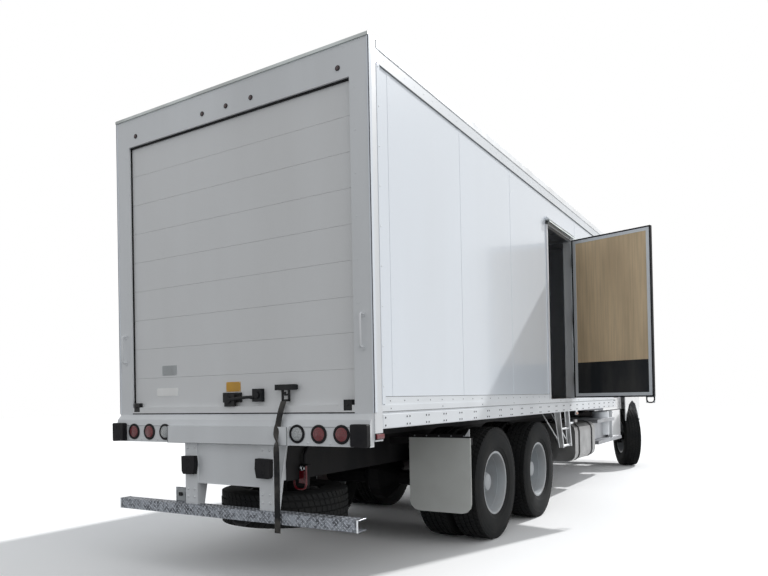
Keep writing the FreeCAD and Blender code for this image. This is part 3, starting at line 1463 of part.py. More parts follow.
def cab_hinge(tag, side, half, index, height):
    """One half of a door hinge: a pin on the hinge line and its leaf, on the shell above the door's."""
    on_shell = half == "Shell"
    low = f"{height} + cab_hinge_height + side_hinge_gap" if on_shell else height
    near = "cab_hinge_y - cab_hinge_radius / 2"
    y = ("cab_hinge_y", "cab_hinge_y + window_rise") if on_shell else ("cab_hinge_y - window_rise", near)
    spot = (f"{side} * cab_hinge_x", "cab_hinge_y", low)
    if on_shell:
        pin = bar(f"{tag}ShellPin{index}", "Z", spot, "cab_hinge_radius", "cab_hinge_height", ROUND_SIDES)
    else:
        pin = rod(f"{tag}DoorPin{index}", "Z", spot, "cab_hinge_radius", "cab_hinge_height")
    leaf = block(f"{tag}{half}Leaf{index}", span(side, "cab_half_width - side_hinge_gap", "cab_hinge_x"), y,
                 along(low, "cab_hinge_height"))
    return [pin, leaf]


def cab():
    shell = cut("CabRing", cab_form("CabOuter", "0"), cab_form("CabInner", "cab_wall"))
    openings = fuse("CabOpenings", doorway("LeftDoorway", "cab_door_gap", -1), doorway("RightDoorway", "cab_door_gap", 1),
                    windshield_opening("WindshieldOpening"), rear_window_opening("RearWindowOpening"))
    hinges = [piece for side, tag in SIDES for index, height in enumerate(CAB_HINGES)
              for piece in cab_hinge(tag, side, "Shell", index, height)]
    finish("cab_shell", fuse("CabShell", cut("CabOpened", shell, openings), *hinges))
    pane = cut("GlassLayer", cab_form("GlassOuter", "glass_inset"), cab_form("GlassInner", "(glass_inset + glass_thickness)"))
    finish("cab_glass", common("Windshield", pane, windshield_opening("WindshieldShape")),
           common("RearWindow", pane, rear_window_opening("RearWindowShape")))
    for side, tag in SIDES:
        skin = common(tag + "DoorSkin", shell, doorway(tag + "DoorShape", "0", side))
        door = cut(tag + "Door", skin, side_window(tag + "WindowCut", side))
        halves = [piece for index, height in enumerate(CAB_HINGES)
                  for piece in cab_hinge(tag, side, "Door", index, height)]
        finish("cab_door_" + tag.lower(), fuse(tag + "DoorWithMirror", door, mirror(tag, side), *halves))
        finish("door_glass_" + tag.lower(), common(tag + "DoorGlass", pane, side_window(tag + "WindowShape", side)))


def mirror(tag, side):
    """Tall mirror on an arm from the door's front edge."""
    arm_y = along("mirror_rear + mirror_arm / 2", "mirror_arm")
    head = block(tag + "MirrorHead", span(side, "mirror_inner_x", "mirror_outer_x"), along("mirror_rear", "mirror_depth"),
                 along("cab_beltline - mirror_arm", "mirror_height"))
    arm = block(tag + "MirrorArm", span(side, "cab_half_width - mirror_arm / 2", "mirror_outer_x"), arm_y,
                ("cab_beltline - 2 * mirror_arm", "cab_beltline - mirror_arm"))
    return fuse(tag + "Mirror", head, arm)


def seats():
    floor = "cab_bottom + cab_wall"
    rear = "cab_rear + seat_back"
    points = [(rear, floor), (rear, f"{floor} + seat_height"), (f"{rear} - seat_lean", f"{floor} + seat_back_height"),
              (f"{rear} + seat_lean", f"{floor} + seat_back_height + seat_lean / 2"),
              (f"{rear} + 2.5 * seat_lean", f"{floor} + seat_height + 2 * seat_lean"),
              (f"{rear} + seat_depth", f"{floor} + seat_height + 2 * seat_lean"), (f"{rear} + seat_depth", floor)]
    return [prism(tag + "Seat", "YZ", points, f"{side} * seat_x - seat_width / 2", "seat_width") for side, tag in SIDES]


def dashboard():
    face = "cab_front - cab_wall"
    rear = "cab_front - dash_depth"
    top = "cab_beltline - cab_wall / 2"
    points = [(face, "cab_door_bottom + cab_edge"), (face, f"{top} - cab_wall"), (f"{face} - cab_edge", top),
              (rear, f"{top} - cab_wall"), (f"{rear} - cab_wall / 2", "cab_beltline - 3 * cab_edge"),
              (f"{rear} + cab_edge", "cab_door_bottom + cab_edge")]
    desk = prism("Desk", "YZ", points, "-(cab_half_width - cab_wall)", "2 * (cab_half_width - cab_wall)")
    steering = [bar("SteeringColumn", "Z", ("0", "0", "-column_length"), "column_radius", "column_length + wheel_ring_width"),
                block("SteeringSpoke", ("-wheel_ring_radius + wheel_ring_width / 2", "wheel_ring_radius - wheel_ring_width / 2"),
                      ("-column_radius", "column_radius"), ("0", "wheel_ring_width"))]
    rings = []
    for name, radius, low, high in (("RingOuter", "wheel_ring_radius", "0", "wheel_ring_width"),
                                    ("RingInner", "wheel_ring_radius - wheel_ring_width", "-1", "wheel_ring_width + 1")):
        rings.append(bar(name, "Z", ("0", "0", low), radius, f"{high} - ({low})", ROUND_SIDES))
    wheel = fuse("SteeringWheel", cut("SteeringRing", *rings), *steering)
    wheel.Placement.Rotation = Rotation(Vector(1, 0, 0), 1)
    wheel.setExpression("Placement.Rotation.Angle", bound("column_tilt"))
    wheel.setExpression("Placement.Base.x", bound("-seat_x"))
    wheel.setExpression("Placement.Base.y", bound(f"{rear} + cab_wall - column_length * sin(column_tilt * 1deg)"))
    wheel.setExpression("Placement.Base.z", bound(f"{top} - 3 * cab_wall + column_length * cos(column_tilt * 1deg)"))
    finish("cab_interior", fuse("Dashboard", desk, wheel), *seats())


# Hood, grille and headlamps

def hood_form(name, inset):
    under = f"hood_bottom - 1 + 2 * {inset}"
    side = [("hood_rear - 1", under), ("hood_rear - 1", f"hood_rear_top - {inset}"),
            ("hood_front - hood_nose", f"hood_front_top + cab_edge / 2 - {inset}"),
            (f"hood_front - hood_brow - {inset}", f"hood_front_top - hood_brow - {inset}"),
            (f"hood_front - {inset}", "hood_front_top - grille_head"), (f"hood_front - {inset}", under)]
    wide = f"(hood_half_width - {inset})"
    crown = f"(hood_centre_half_width - {inset})"
    right = [(f"({crown} - 2 * hood_brow)", f"hood_rear_top + hood_wall - {inset}"),
             (crown, f"hood_rear_top - cab_edge - {inset}"), (f"({crown} + 2 * hood_brow)", f"fender_top + hood_brow - {inset}"),
             (f"({wide} - hood_brow)", f"fender_top - {inset}"), (wide, f"fender_top - hood_brow - {inset}"),
             (wide, "hood_bottom - hood_brow")]
    end = [(f"-{x}", z) for x, z in reversed(right)] + right
    across = prism(name + "Side", "YZ", side, "-hood_half_width - hood_wall", "2 * (hood_half_width + hood_wall)")
    lengthwise = prism(name + "End", "XZ", end, "hood_rear", "hood_length + hood_wall")
    return common(name, across, lengthwise)


def lamp_box(name, side, behind, ahead):
    return block(name, about(f"{side} * headlamp_x", "headlamp_width / 2"), (f"hood_front - {behind}", f"hood_front + {ahead}"),
                 about("headlamp_z", "headlamp_height / 2"))


def hood_arms():
    """Arms from the hood's nose to the pins on the front bumper, bored to turn on them."""
    arms, bores = [], []
    wide = "2 * hood_hinge_radius"
    for side, tag in SIDES:
        x = span(side, "hood_arm_x - hood_arm_half_width", "hood_arm_x + hood_arm_half_width")
        arms.append(block(tag + "HoodArm", x, ("hood_front - hood_wall", "hood_front"),
                          (f"hood_hinge_z - {wide}", "hood_bottom + hood_gap * 2")))
        arms.append(block(tag + "HoodEye", x, ("hood_front - hood_wall", f"hood_hinge_y + {wide}"), about("hood_hinge_z", wide)))
        bores.append(rod(tag + "HoodBore", "X", (f"{x[0]} - 1", "hood_hinge_y", "hood_hinge_z"),
                         "hood_hinge_radius + side_hinge_clearance", "2 * hood_arm_half_width + 2"))
    return arms, bores


def hood():
    shell = cut("HoodRing", hood_form("HoodOuter", "0"), hood_form("HoodInner", "hood_wall"))
    wide = "(hood_half_width + hood_wall + 1)"
    arch = bar("WheelArch", "X", (f"-{wide}", "front_axle_y", "tyre_radius"), "arch_radius", f"2 * {wide}", WHEEL_SIDES)
    under = block("HoodUnderCut", (f"-{wide}", wide), ("hood_rear - hood_gap", "hood_front - hood_wall - 1"),
                  ("hood_bottom - cab_edge", "hood_bottom + 3 * hood_wall"))
    mouth = block("GrilleOpening", ("-grille_half_width", "grille_half_width"), ("hood_front - cab_edge", "hood_front + cab_edge"),
                  ("grille_bottom", "grille_top"))
    lamps = [lamp_box(tag + "LampOpening", side, "cab_edge", "cab_edge") for side, tag in SIDES]
    arms, bores = hood_arms()
    body = cut("HoodShell", shell, fuse("HoodCuts", arch, under, mouth, *lamps))
    finish("hood", cut("Hood", fuse("HoodWithArms", body, *arms), fuse("HoodBores", *bores)))


def grille():
    x = ("-grille_half_width", "grille_half_width")
    y = ("hood_front - grille_frame", "hood_front + grille_proud")
    pieces = [block("GrilleFrameTop", x, y, ("grille_top - grille_frame", "grille_top")),
              block("GrilleFrameBottom", x, y, ("grille_bottom", "grille_bottom + grille_frame"))]
    for side, tag in SIDES:
        pieces.append(block(tag + "GrilleFrame", span(side, "grille_half_width - grille_frame", "grille_half_width"), y,
                            ("grille_bottom", "grille_top")))
    for index in range(int(value("grille_bars"))):
        centre = f"grille_bottom + {index + 1} * (grille_top - grille_bottom) / (grille_bars + 1)"
        pieces.append(block(f"GrilleBar{index}", x, ("hood_front - grille_frame", "hood_front"),
                            about(centre, "grille_bar_height / 2")))
    finish("grille", fuse("Grille", *pieces))


def headlamps():
    finish("headlamps", *[lamp_box(tag + "Headlamp", side, "2 * grille_frame", "grille_proud / 2") for side, tag in SIDES])


# Side door, its frame and the ladder below it

def side_door_frame():
    ring = block("SideRing", ("wall_inner", "half_width"),
                 ("side_door_rear - side_frame_width", "side_door_front + side_frame_width"),
                 ("floor_top", "side_door_top + side_frame_width"))
    hole = block("SideHole", ("wall_inner - 1", "half_width + 1"), ("side_door_rear", "side_door_front"),
                 ("floor_top - 1", "side_door_top"))
    low, high = "(side_door_top + drip_rise)", "(side_door_top + drip_rise + drip_height)"
    tip = "half_width + drip_proud"
    drip = prism("DripRail", "XZ", [("half_width", low), ("half_width", high), (tip, f"{low} + drip_height / 3"),
                                    (tip, f"{low} + drip_height / 6")],
                 "side_door_rear - 1.5 * side_frame_width", "side_door_width + 3 * side_frame_width")
    finish("side_door_frame", fuse("SideDoorFrame", cut("SideJambs", ring, hole), *side_hinges()), drip)


SIDE_HINGES = ("floor_top + 160", "(floor_top + side_door_top) / 2 - 60", "side_door_top - 340")


def side_hinges():
    """Body half of each hinge: a knuckle above the leaf's, on a plate on the front jamb."""
    pieces = []
    for index, height in enumerate(SIDE_HINGES):
        z = (f"{height} + side_hinge_length / 2 + side_hinge_gap", f"{height} + side_hinge_length")
        pieces.append(bar(f"JambKnuckle{index}", "Z", ("side_hinge_x", "side_door_front", z[0]), "side_hinge_radius",
                          "side_hinge_length / 2 - side_hinge_gap", ROUND_SIDES))
        pieces.append(block(f"JambPlate{index}", ("half_width", "side_hinge_x"),
                            ("side_door_front + side_hinge_gap", "side_door_front + side_frame_width - side_hinge_gap"), z))
    return pieces


def leaf_hinges(outer):
    """Leaf half of each hinge: a knuckle on the hinge line, on a strap across the leaf."""
    pieces = []
    for index, height in enumerate(SIDE_HINGES):
        length = "side_hinge_length / 2 - side_hinge_gap"
        z = (f"{height} + 2 * side_hinge_gap", f"{height} + {length} - 2 * side_hinge_gap")
        pieces.append(rod(f"LeafKnuckle{index}", "Z", ("0", "0", height), "side_hinge_radius", length))
        pieces.append(block(f"LeafStrap{index}", (outer, "0"), ("-side_hinge_strap", "-leaf_gap"), z))
        pieces.append(block(f"LeafTongue{index}", ("-side_hinge_radius / 2", "0"), ("-side_hinge_strap", "0"), z))
    return pieces


def side_door():
    """The leaf is drawn shut against its frame, with its hinge line at its own zero."""
    outer, inner = "-side_hinge_out", "(-side_hinge_out - leaf_thickness)"
    near, far = "-leaf_gap", "(leaf_gap - side_door_width)"
    low, high = "floor_top + leaf_gap", "side_door_top - leaf_gap"
    inside = (f"{far} + leaf_edge_width", f"{near} - leaf_edge_width")
    height = (f"{low} + leaf_edge_width", f"{high} - leaf_edge_width")
    leaf = block("Leaf", (inner, outer), (far, near), (low, high))
    recess = block("LeafRecess", (f"{inner} - 1", f"{inner} + lining_thickness"), inside, height)
    pieces = [cut("LeafBody", leaf, recess), *leaf_hinges(outer), *leaf_hook(outer, far, low)]
    pivot = ("side_hinge_x", "side_door_front", "0")
    finish_turned("side_door", [fuse("SideDoorLeaf", *pieces)], pivot, "side_door_open_angle")
    wood = block("LeafWood", (inner, f"{inner} + lining_thickness"), inside, height)
    finish_turned("side_door_lining", [wood], pivot, "side_door_open_angle")


def leaf_hook(outer, far, low):
    """Ring below the leaf's free edge that holds it open, on a stand-off clear of the side rail."""
    y = along(f"{far} + hook_bar", "hook_width")
    ring = block("HookRing", along(f"{outer} + hook_proud - hook_bar", "hook_bar"), y, (f"{low} - hook_height", low))
    gap = block("HookGap", along(f"{outer} - 1", "hook_proud + 2"), (f"{y[0]} + hook_bar", f"{y[1]} - hook_bar"),
                (f"{low} - hook_height + hook_bar", f"{low} - hook_bar"))
    foot = block("HookFoot", along(outer, "hook_proud"), y, along(low, "2 * hook_bar"))
    return [cut("Hook", ring, gap), foot]


def side_ladder():
    pieces = []
    for index, y in enumerate(("ladder_rear", "ladder_front")):
        pieces.append(bar(f"LadderPost{index}", "Z", ("ladder_x", y, "ladder_bottom"), "ladder_tube_radius",
                          "ladder_height"))
    for index, z in enumerate(("ladder_bottom + 2 * ladder_tube_radius", "ladder_rung_z")):
        pieces.append(bar(f"LadderRung{index}", "Y", ("ladder_x", "ladder_rear", z), "ladder_rung_radius",
                          "ladder_length"))
    for index, foot in enumerate(("ladder_rung_z", "ladder_bottom + brace_depth * 3")):
        rear = f"ladder_rear - brace_lead + {index} * ladder_length / 2"
        points = [("ladder_rear", foot), ("ladder_rear", f"{foot} + brace_depth"),
                  (f"{rear} + brace_depth", "lower_rail_bottom"), (rear, "lower_rail_bottom")]
        pieces.append(prism(f"LadderBrace{index}", "YZ", points, "ladder_x - brace_width / 2", "brace_width"))
    finish("side_ladder", fuse("SideLadder", *pieces))


cargo_floor()
cargo_walls()
cargo_front_wall()
cargo_roof()
cargo_rails()
rear_frame()
overhead_door()
rear_sill()
round_lamps()
bumper_hanger()
step_bumper()
door_fittings()
pull_strap()
chassis_frame()
frame_brackets()
front_bumper()
front_axle()
drive_axles()
drive_wheels()
front_wheels()
mudflaps()
fuel_tank()
cab_steps()
exhaust()
engine_block()
radiator()
cab()
dashboard()
hood()
grille()
headlamps()
side_door_frame()
side_door()
side_ladder()

doc.recompute()
for item in doc.Objects:
    faults = [word for word in item.State if word in ("Invalid", "Error")]
    if faults:
        raise RuntimeError(f"{item.Name} failed: {item.State}")
for part in finished:
    if part.Shape.isNull() or not part.Shape.isValid():
        raise RuntimeError(f"{part.Label} has no valid shape")
os.makedirs("parts", exist_ok=True)
for part in finished:
    part.Shape.exportStep(f"parts/{part.Label}.step")
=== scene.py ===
import json
import math

import bmesh
import bpy
from mathutils import Matrix, Vector


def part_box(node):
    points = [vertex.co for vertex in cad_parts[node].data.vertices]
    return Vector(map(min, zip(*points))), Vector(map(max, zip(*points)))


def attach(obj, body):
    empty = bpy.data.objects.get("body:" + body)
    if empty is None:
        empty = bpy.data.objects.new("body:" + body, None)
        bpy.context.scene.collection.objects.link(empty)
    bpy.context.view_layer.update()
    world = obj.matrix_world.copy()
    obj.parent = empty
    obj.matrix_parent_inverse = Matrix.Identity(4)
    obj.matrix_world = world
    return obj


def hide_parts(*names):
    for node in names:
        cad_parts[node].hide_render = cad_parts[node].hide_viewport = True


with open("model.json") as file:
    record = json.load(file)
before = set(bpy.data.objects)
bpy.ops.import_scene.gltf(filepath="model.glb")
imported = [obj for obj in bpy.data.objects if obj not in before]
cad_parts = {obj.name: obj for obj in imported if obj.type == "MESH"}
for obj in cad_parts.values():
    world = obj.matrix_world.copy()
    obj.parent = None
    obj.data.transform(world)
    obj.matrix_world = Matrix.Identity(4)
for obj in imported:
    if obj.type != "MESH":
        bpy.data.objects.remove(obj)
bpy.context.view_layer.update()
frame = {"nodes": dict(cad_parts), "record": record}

# The truck's own frame, in metres: x from its centreline, y from the rear frame's face, z from the ground
wall_low, wall_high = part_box("cargo_front_wall")
TRUCK = Vector(((wall_low.x + wall_high.x) / 2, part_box("rear_frame")[0].y, 0))
IN_TRUCK = Matrix.Translation(TRUCK)


def reach(node, axis, end=1):
    """Where a node ends along an axis of the truck's frame, to a tenth of a millimetre: 0 low, 1 high."""
    return round((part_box(node)[end] - TRUCK)["xyz".index(axis)], 4)


def mirrored(side, near, far):
    """A stretch across the truck, given on the right and wanted on a side: 1 for right, -1 for left."""
    return tuple(sorted((side * near, side * far)))


def span(middle, half):
    """A stretch that reaches half its length either way from its middle."""
    return (middle - half, middle + half)


def row(start, pitch, count):
    """Places one pitch apart from a start."""
    return [start + pitch * index for index in range(count)]


def both(x):
    """The same stretch on the right-hand side and mirrored on the left."""
    return [(side, mirrored(side, *x)) for side in (1, -1)]


# Camera

CAMERA_PLACE = Vector((3.56, -3.797, 1.341))
CAMERA_YAW = math.radians(32.55)
CAMERA_PITCH = math.radians(0.59)
CAMERA_ROLL = math.radians(-1.07)
PICTURE_WIDTH = 768
PICTURE_HEIGHT = 576
FOCAL_PIXELS = 674.2
CENTRE_PIXEL = (356.8, 391.7)
SENSOR_WIDTH = 36
VIEW_DEPTH = 500


def make_camera():
    level = Vector((math.cos(CAMERA_YAW), math.sin(CAMERA_YAW), 0))
    ahead = Vector((-level.y, level.x, 0))
    forward = ahead * math.cos(CAMERA_PITCH) + Vector((0, 0, math.sin(CAMERA_PITCH)))
    upright = level.cross(forward)
    right = level * math.cos(CAMERA_ROLL) + upright * math.sin(CAMERA_ROLL)
    up = upright * math.cos(CAMERA_ROLL) - level * math.sin(CAMERA_ROLL)
    camera = bpy.data.objects.new("Camera", bpy.data.cameras.new("Camera"))
    bpy.context.scene.collection.objects.link(camera)
    turn = Matrix((right, up, -forward)).transposed()
    camera.matrix_world = Matrix.Translation(TRUCK + CAMERA_PLACE) @ turn.to_4x4()
    lens = camera.data
    lens.sensor_fit = "HORIZONTAL"
    lens.sensor_width = SENSOR_WIDTH
    lens.lens = FOCAL_PIXELS / PICTURE_WIDTH * SENSOR_WIDTH
    lens.shift_x = (PICTURE_WIDTH / 2 - CENTRE_PIXEL[0]) / PICTURE_WIDTH
    lens.shift_y = (CENTRE_PIXEL[1] - PICTURE_HEIGHT / 2) / PICTURE_WIDTH
    lens.clip_end = VIEW_DEPTH
    bpy.context.scene.camera = camera


make_camera()
bpy.context.scene.view_settings.view_transform = "Standard"


# Materials

class Finish:
    """A material whose nodes are added one by one."""

    def __init__(self, name, colour, roughness, metallic=0.0):
        self.material = bpy.data.materials.new(name)
        self.material.use_nodes = True
        self.tree = self.material.node_tree
        self.shader = self.tree.nodes["Principled BSDF"]
        self.colour = (*colour, 1)
        self.set("Base Color", self.colour)
        self.set("Roughness", roughness)
        self.set("Metallic", metallic)
        self.place = self.tree.nodes.new("ShaderNodeTexCoord").outputs["Object"]

    def set(self, name, value):
        """Sets one of the shader's inputs to a value, or joins it to a node's output."""
        self.fill(self.shader.inputs[name], value)

    def fill(self, socket, value):
        if isinstance(value, bpy.types.NodeSocket):
            self.tree.links.new(value, socket)
        else:
            socket.default_value = value

    def node(self, kind, inputs, **settings):
        made = self.tree.nodes.new("ShaderNode" + kind)
        for word, setting in settings.items():
            setattr(made, word, setting)
        for name, value in inputs.items():
            self.fill(made.inputs[name], value)
        return made

    def stretched(self, stretch):
        return self.node("Mapping", {"Vector": self.place, "Scale": stretch}).outputs["Vector"]

    def noise(self, scale, stretch=(1, 1, 1), detail=3.0):
        made = self.node("TexNoise", {"Vector": self.stretched(stretch), "Scale": scale, "Detail": detail})
        return made.outputs["Fac"]

    def cells(self, scale, stretch=(1, 1, 1)):
        made = self.node("TexVoronoi", {"Vector": self.stretched(stretch), "Scale": scale})
        return made.outputs["Distance"]

    def height(self):
        """Height above the ground, in metres."""
        return self.node("SeparateXYZ", {"Vector": self.place}).outputs["Z"]

    def spread(self, source, low, high, to_low=0.0, to_high=1.0):
        """Maps a value's range to another, clamped."""
        return self.node("MapRange", {"Value": source, "From Min": low, "From Max": high, "To Min": to_low,
                                      "To Max": to_high}).outputs["Result"]

    def times(self, first, second):
        return self.node("Math", {0: first, 1: second}, operation="MULTIPLY").outputs["Value"]

    def mix(self, factor, first, second):
        made = self.node("Mix", {}, data_type="RGBA")
        for index, value in ((0, factor), (6, first), (7, second)):
            self.fill(made.inputs[index], value)
        return made.outputs[2]

    def bump(self, height, distance, strength=1.0):
        made = self.node("Bump", {"Height": height, "Distance": distance, "Strength": strength})
        self.set("Normal", made.outputs["Normal"])

    def dirty(self, dirt, amount, scale=1.3, stretch=(1, 1, 1)):
        """Lets dirt show through the colour in soft patches."""
        patches = self.spread(self.noise(scale, stretch, 5.0), 0.4, 0.75, 0.0, amount)
        self.set("Base Color", self.mix(patches, self.colour, (*dirt, 1)))
        return patches


DUST = (0.36, 0.33, 0.29)
GRIME = (0.16, 0.15, 0.14)
RUST = (0.22, 0.10, 0.05)


def painted(name, colour, roughness, dirt=DUST, amount=0.25, scale=1.3, coat=0.0):
    """Painted metal with faint patches of dirt that streak downwards."""
    finish = Finish(name, colour, roughness)
    patches = finish.dirty(dirt, amount, scale, (1, 1, 0.25))
    finish.set("Roughness", finish.spread(patches, 0.0, 1.0, roughness, min(1.0, roughness + 0.5)))
    finish.set("Coat Weight", coat)
    finish.set("Coat Roughness", 0.08)
    finish.bump(finish.noise(3.0, (1, 1, 1), 2.0), 0.003, 0.35)
    return finish.material


def bare_metal(name, colour, roughness, grain=(1, 1, 60), dirt=GRIME, amount=0.25):
    """Metal with drawn or brushed grain along one axis, dulled in patches."""
    finish = Finish(name, colour, roughness, 1.0)
    patches = finish.dirty(dirt, amount, 2.2)
    lines = finish.noise(6.0, grain, 2.0)
    worn = finish.spread(finish.noise(4.0), 0.3, 0.7, roughness * 0.75, roughness * 1.4)
    finish.set("Roughness", worn)
    finish.set("Metallic", finish.spread(patches, 0.0, 1.0, 1.0, 0.3))
    finish.bump(lines, 0.0006, 0.5)
    return finish.material


def moulded(name, colour, roughness, dust=0.2, pores=400.0):
    """Moulded rubber or plastic with fine pores and patches of dust."""
    finish = Finish(name, colour, roughness)
    finish.dirty(DUST, dust, 6.0)
    finish.bump(finish.noise(pores, (1, 1, 1), 1.0), 0.0004, 0.6)
    return finish.material


def plywood(name, colour, dark):
    """Rotary-cut veneer: broad wavy figure with fine grain running up the sheet."""
    finish = Finish(name, colour, 0.62)
    figure = finish.noise(2.6, (1.0, 1.0, 0.22), 6.0)
    grain = finish.noise(55.0, (1.0, 1.0, 0.03), 3.0)
    shade = finish.mix(finish.spread(figure, 0.38, 0.68), finish.colour, (*dark, 1))
    fine = finish.mix(finish.spread(grain, 0.4, 0.8, 0.0, 0.35), shade, (*[c * 0.6 for c in dark], 1))
    finish.set("Base Color", fine)
    finish.bump(grain, 0.0008, 0.5)
    return finish.material


def decking(name, colour, dark, underside):
    """Floor boards over sills, near black below a height."""
    finish = Finish(name, colour, 0.7)
    grain = finish.noise(30.0, (1.0, 0.03, 1.0), 3.0)
    boards = finish.mix(finish.spread(grain, 0.35, 0.7), finish.colour, (*dark, 1))
    below = finish.spread(finish.height(), underside - 0.002, underside, 1.0, 0.0)
    finish.set("Base Color", finish.mix(below, boards, (0.02, 0.02, 0.022, 1)))
    finish.bump(grain, 0.001, 0.5)
    return finish.material


def speckled(name, colour, dark):
    """Worn tread plate, darkened in small random spots: partly grime, partly painted shade that stands for
    the shade between its lugs.
    """
    finish = Finish(name, colour, 0.5, 0.7)
    spots = finish.spread(finish.noise(38.0, (1, 1, 1), 4.0), 0.42, 0.60)
    broad = finish.spread(finish.noise(2.5), 0.35, 0.7, 0.35, 1.0)
    # Painted shade: the dark spots stand partly for shade between the lugs and partly for grime.
    finish.set("Base Color", finish.mix(finish.times(spots, broad), finish.colour, (*dark, 1)))
    finish.set("Roughness", finish.spread(spots, 0.0, 1.0, 0.38, 0.7))
    finish.bump(spots, 0.0012, 0.6)
    return finish.material


def lens_plastic(name, colour):
    """Coloured lamp lens with small prisms moulded in it."""
    finish = Finish(name, colour, 0.28)
    finish.set("Coat Weight", 0.25)
    finish.set("Coat Roughness", 0.08)
    prisms = finish.cells(160.0)
    deep = (*[c * 0.45 for c in colour], 1)
    finish.set("Base Color", finish.mix(finish.spread(prisms, 0.1, 0.6), finish.colour, deep))
    finish.bump(prisms, 0.0015, 0.7)
    return finish.material


def window(name, colour, alpha):
    """Tinted glass with a clear coat."""
    finish = Finish(name, colour, 0.03)
    finish.set("Alpha", alpha)
    finish.set("Coat Weight", 1.0)
    finish.set("Coat Roughness", 0.02)
    return finish.material


def webbing(name, colour):
    """Woven strap: ribs across it and fine yarns along it."""
    finish = Finish(name, colour, 0.85)
    ribs = finish.noise(260.0, (0.25, 0.25, 1.0), 1.0)
    finish.dirty(DUST, 0.25, 9.0)
    finish.set("Sheen Weight", 0.3)
    finish.bump(ribs, 0.0012, 0.8)
    return finish.material


def tyre_rubber(name):
    """Black rubber, paler with road dust in patches."""
    finish = Finish(name, (0.016, 0.017, 0.018), 0.82)
    dust = finish.spread(finish.noise(5.0, (1, 1, 1), 5.0), 0.35, 0.8, 0.0, 0.3)
    finish.set("Base Color", finish.mix(dust, finish.colour, (0.05, 0.047, 0.042, 1)))
    finish.bump(finish.noise(120.0, (1, 1, 1), 2.0), 0.0012, 0.5)
    return finish.material


FLOOR_UNDERSIDE_Z = 1.266
DULL_SHINE = 0.15
DULL_BLACKS = ("chassis_black", "black_steel", "black_rubber", "strap_webbing", "tyre", "kick_black",
               "grille_black")

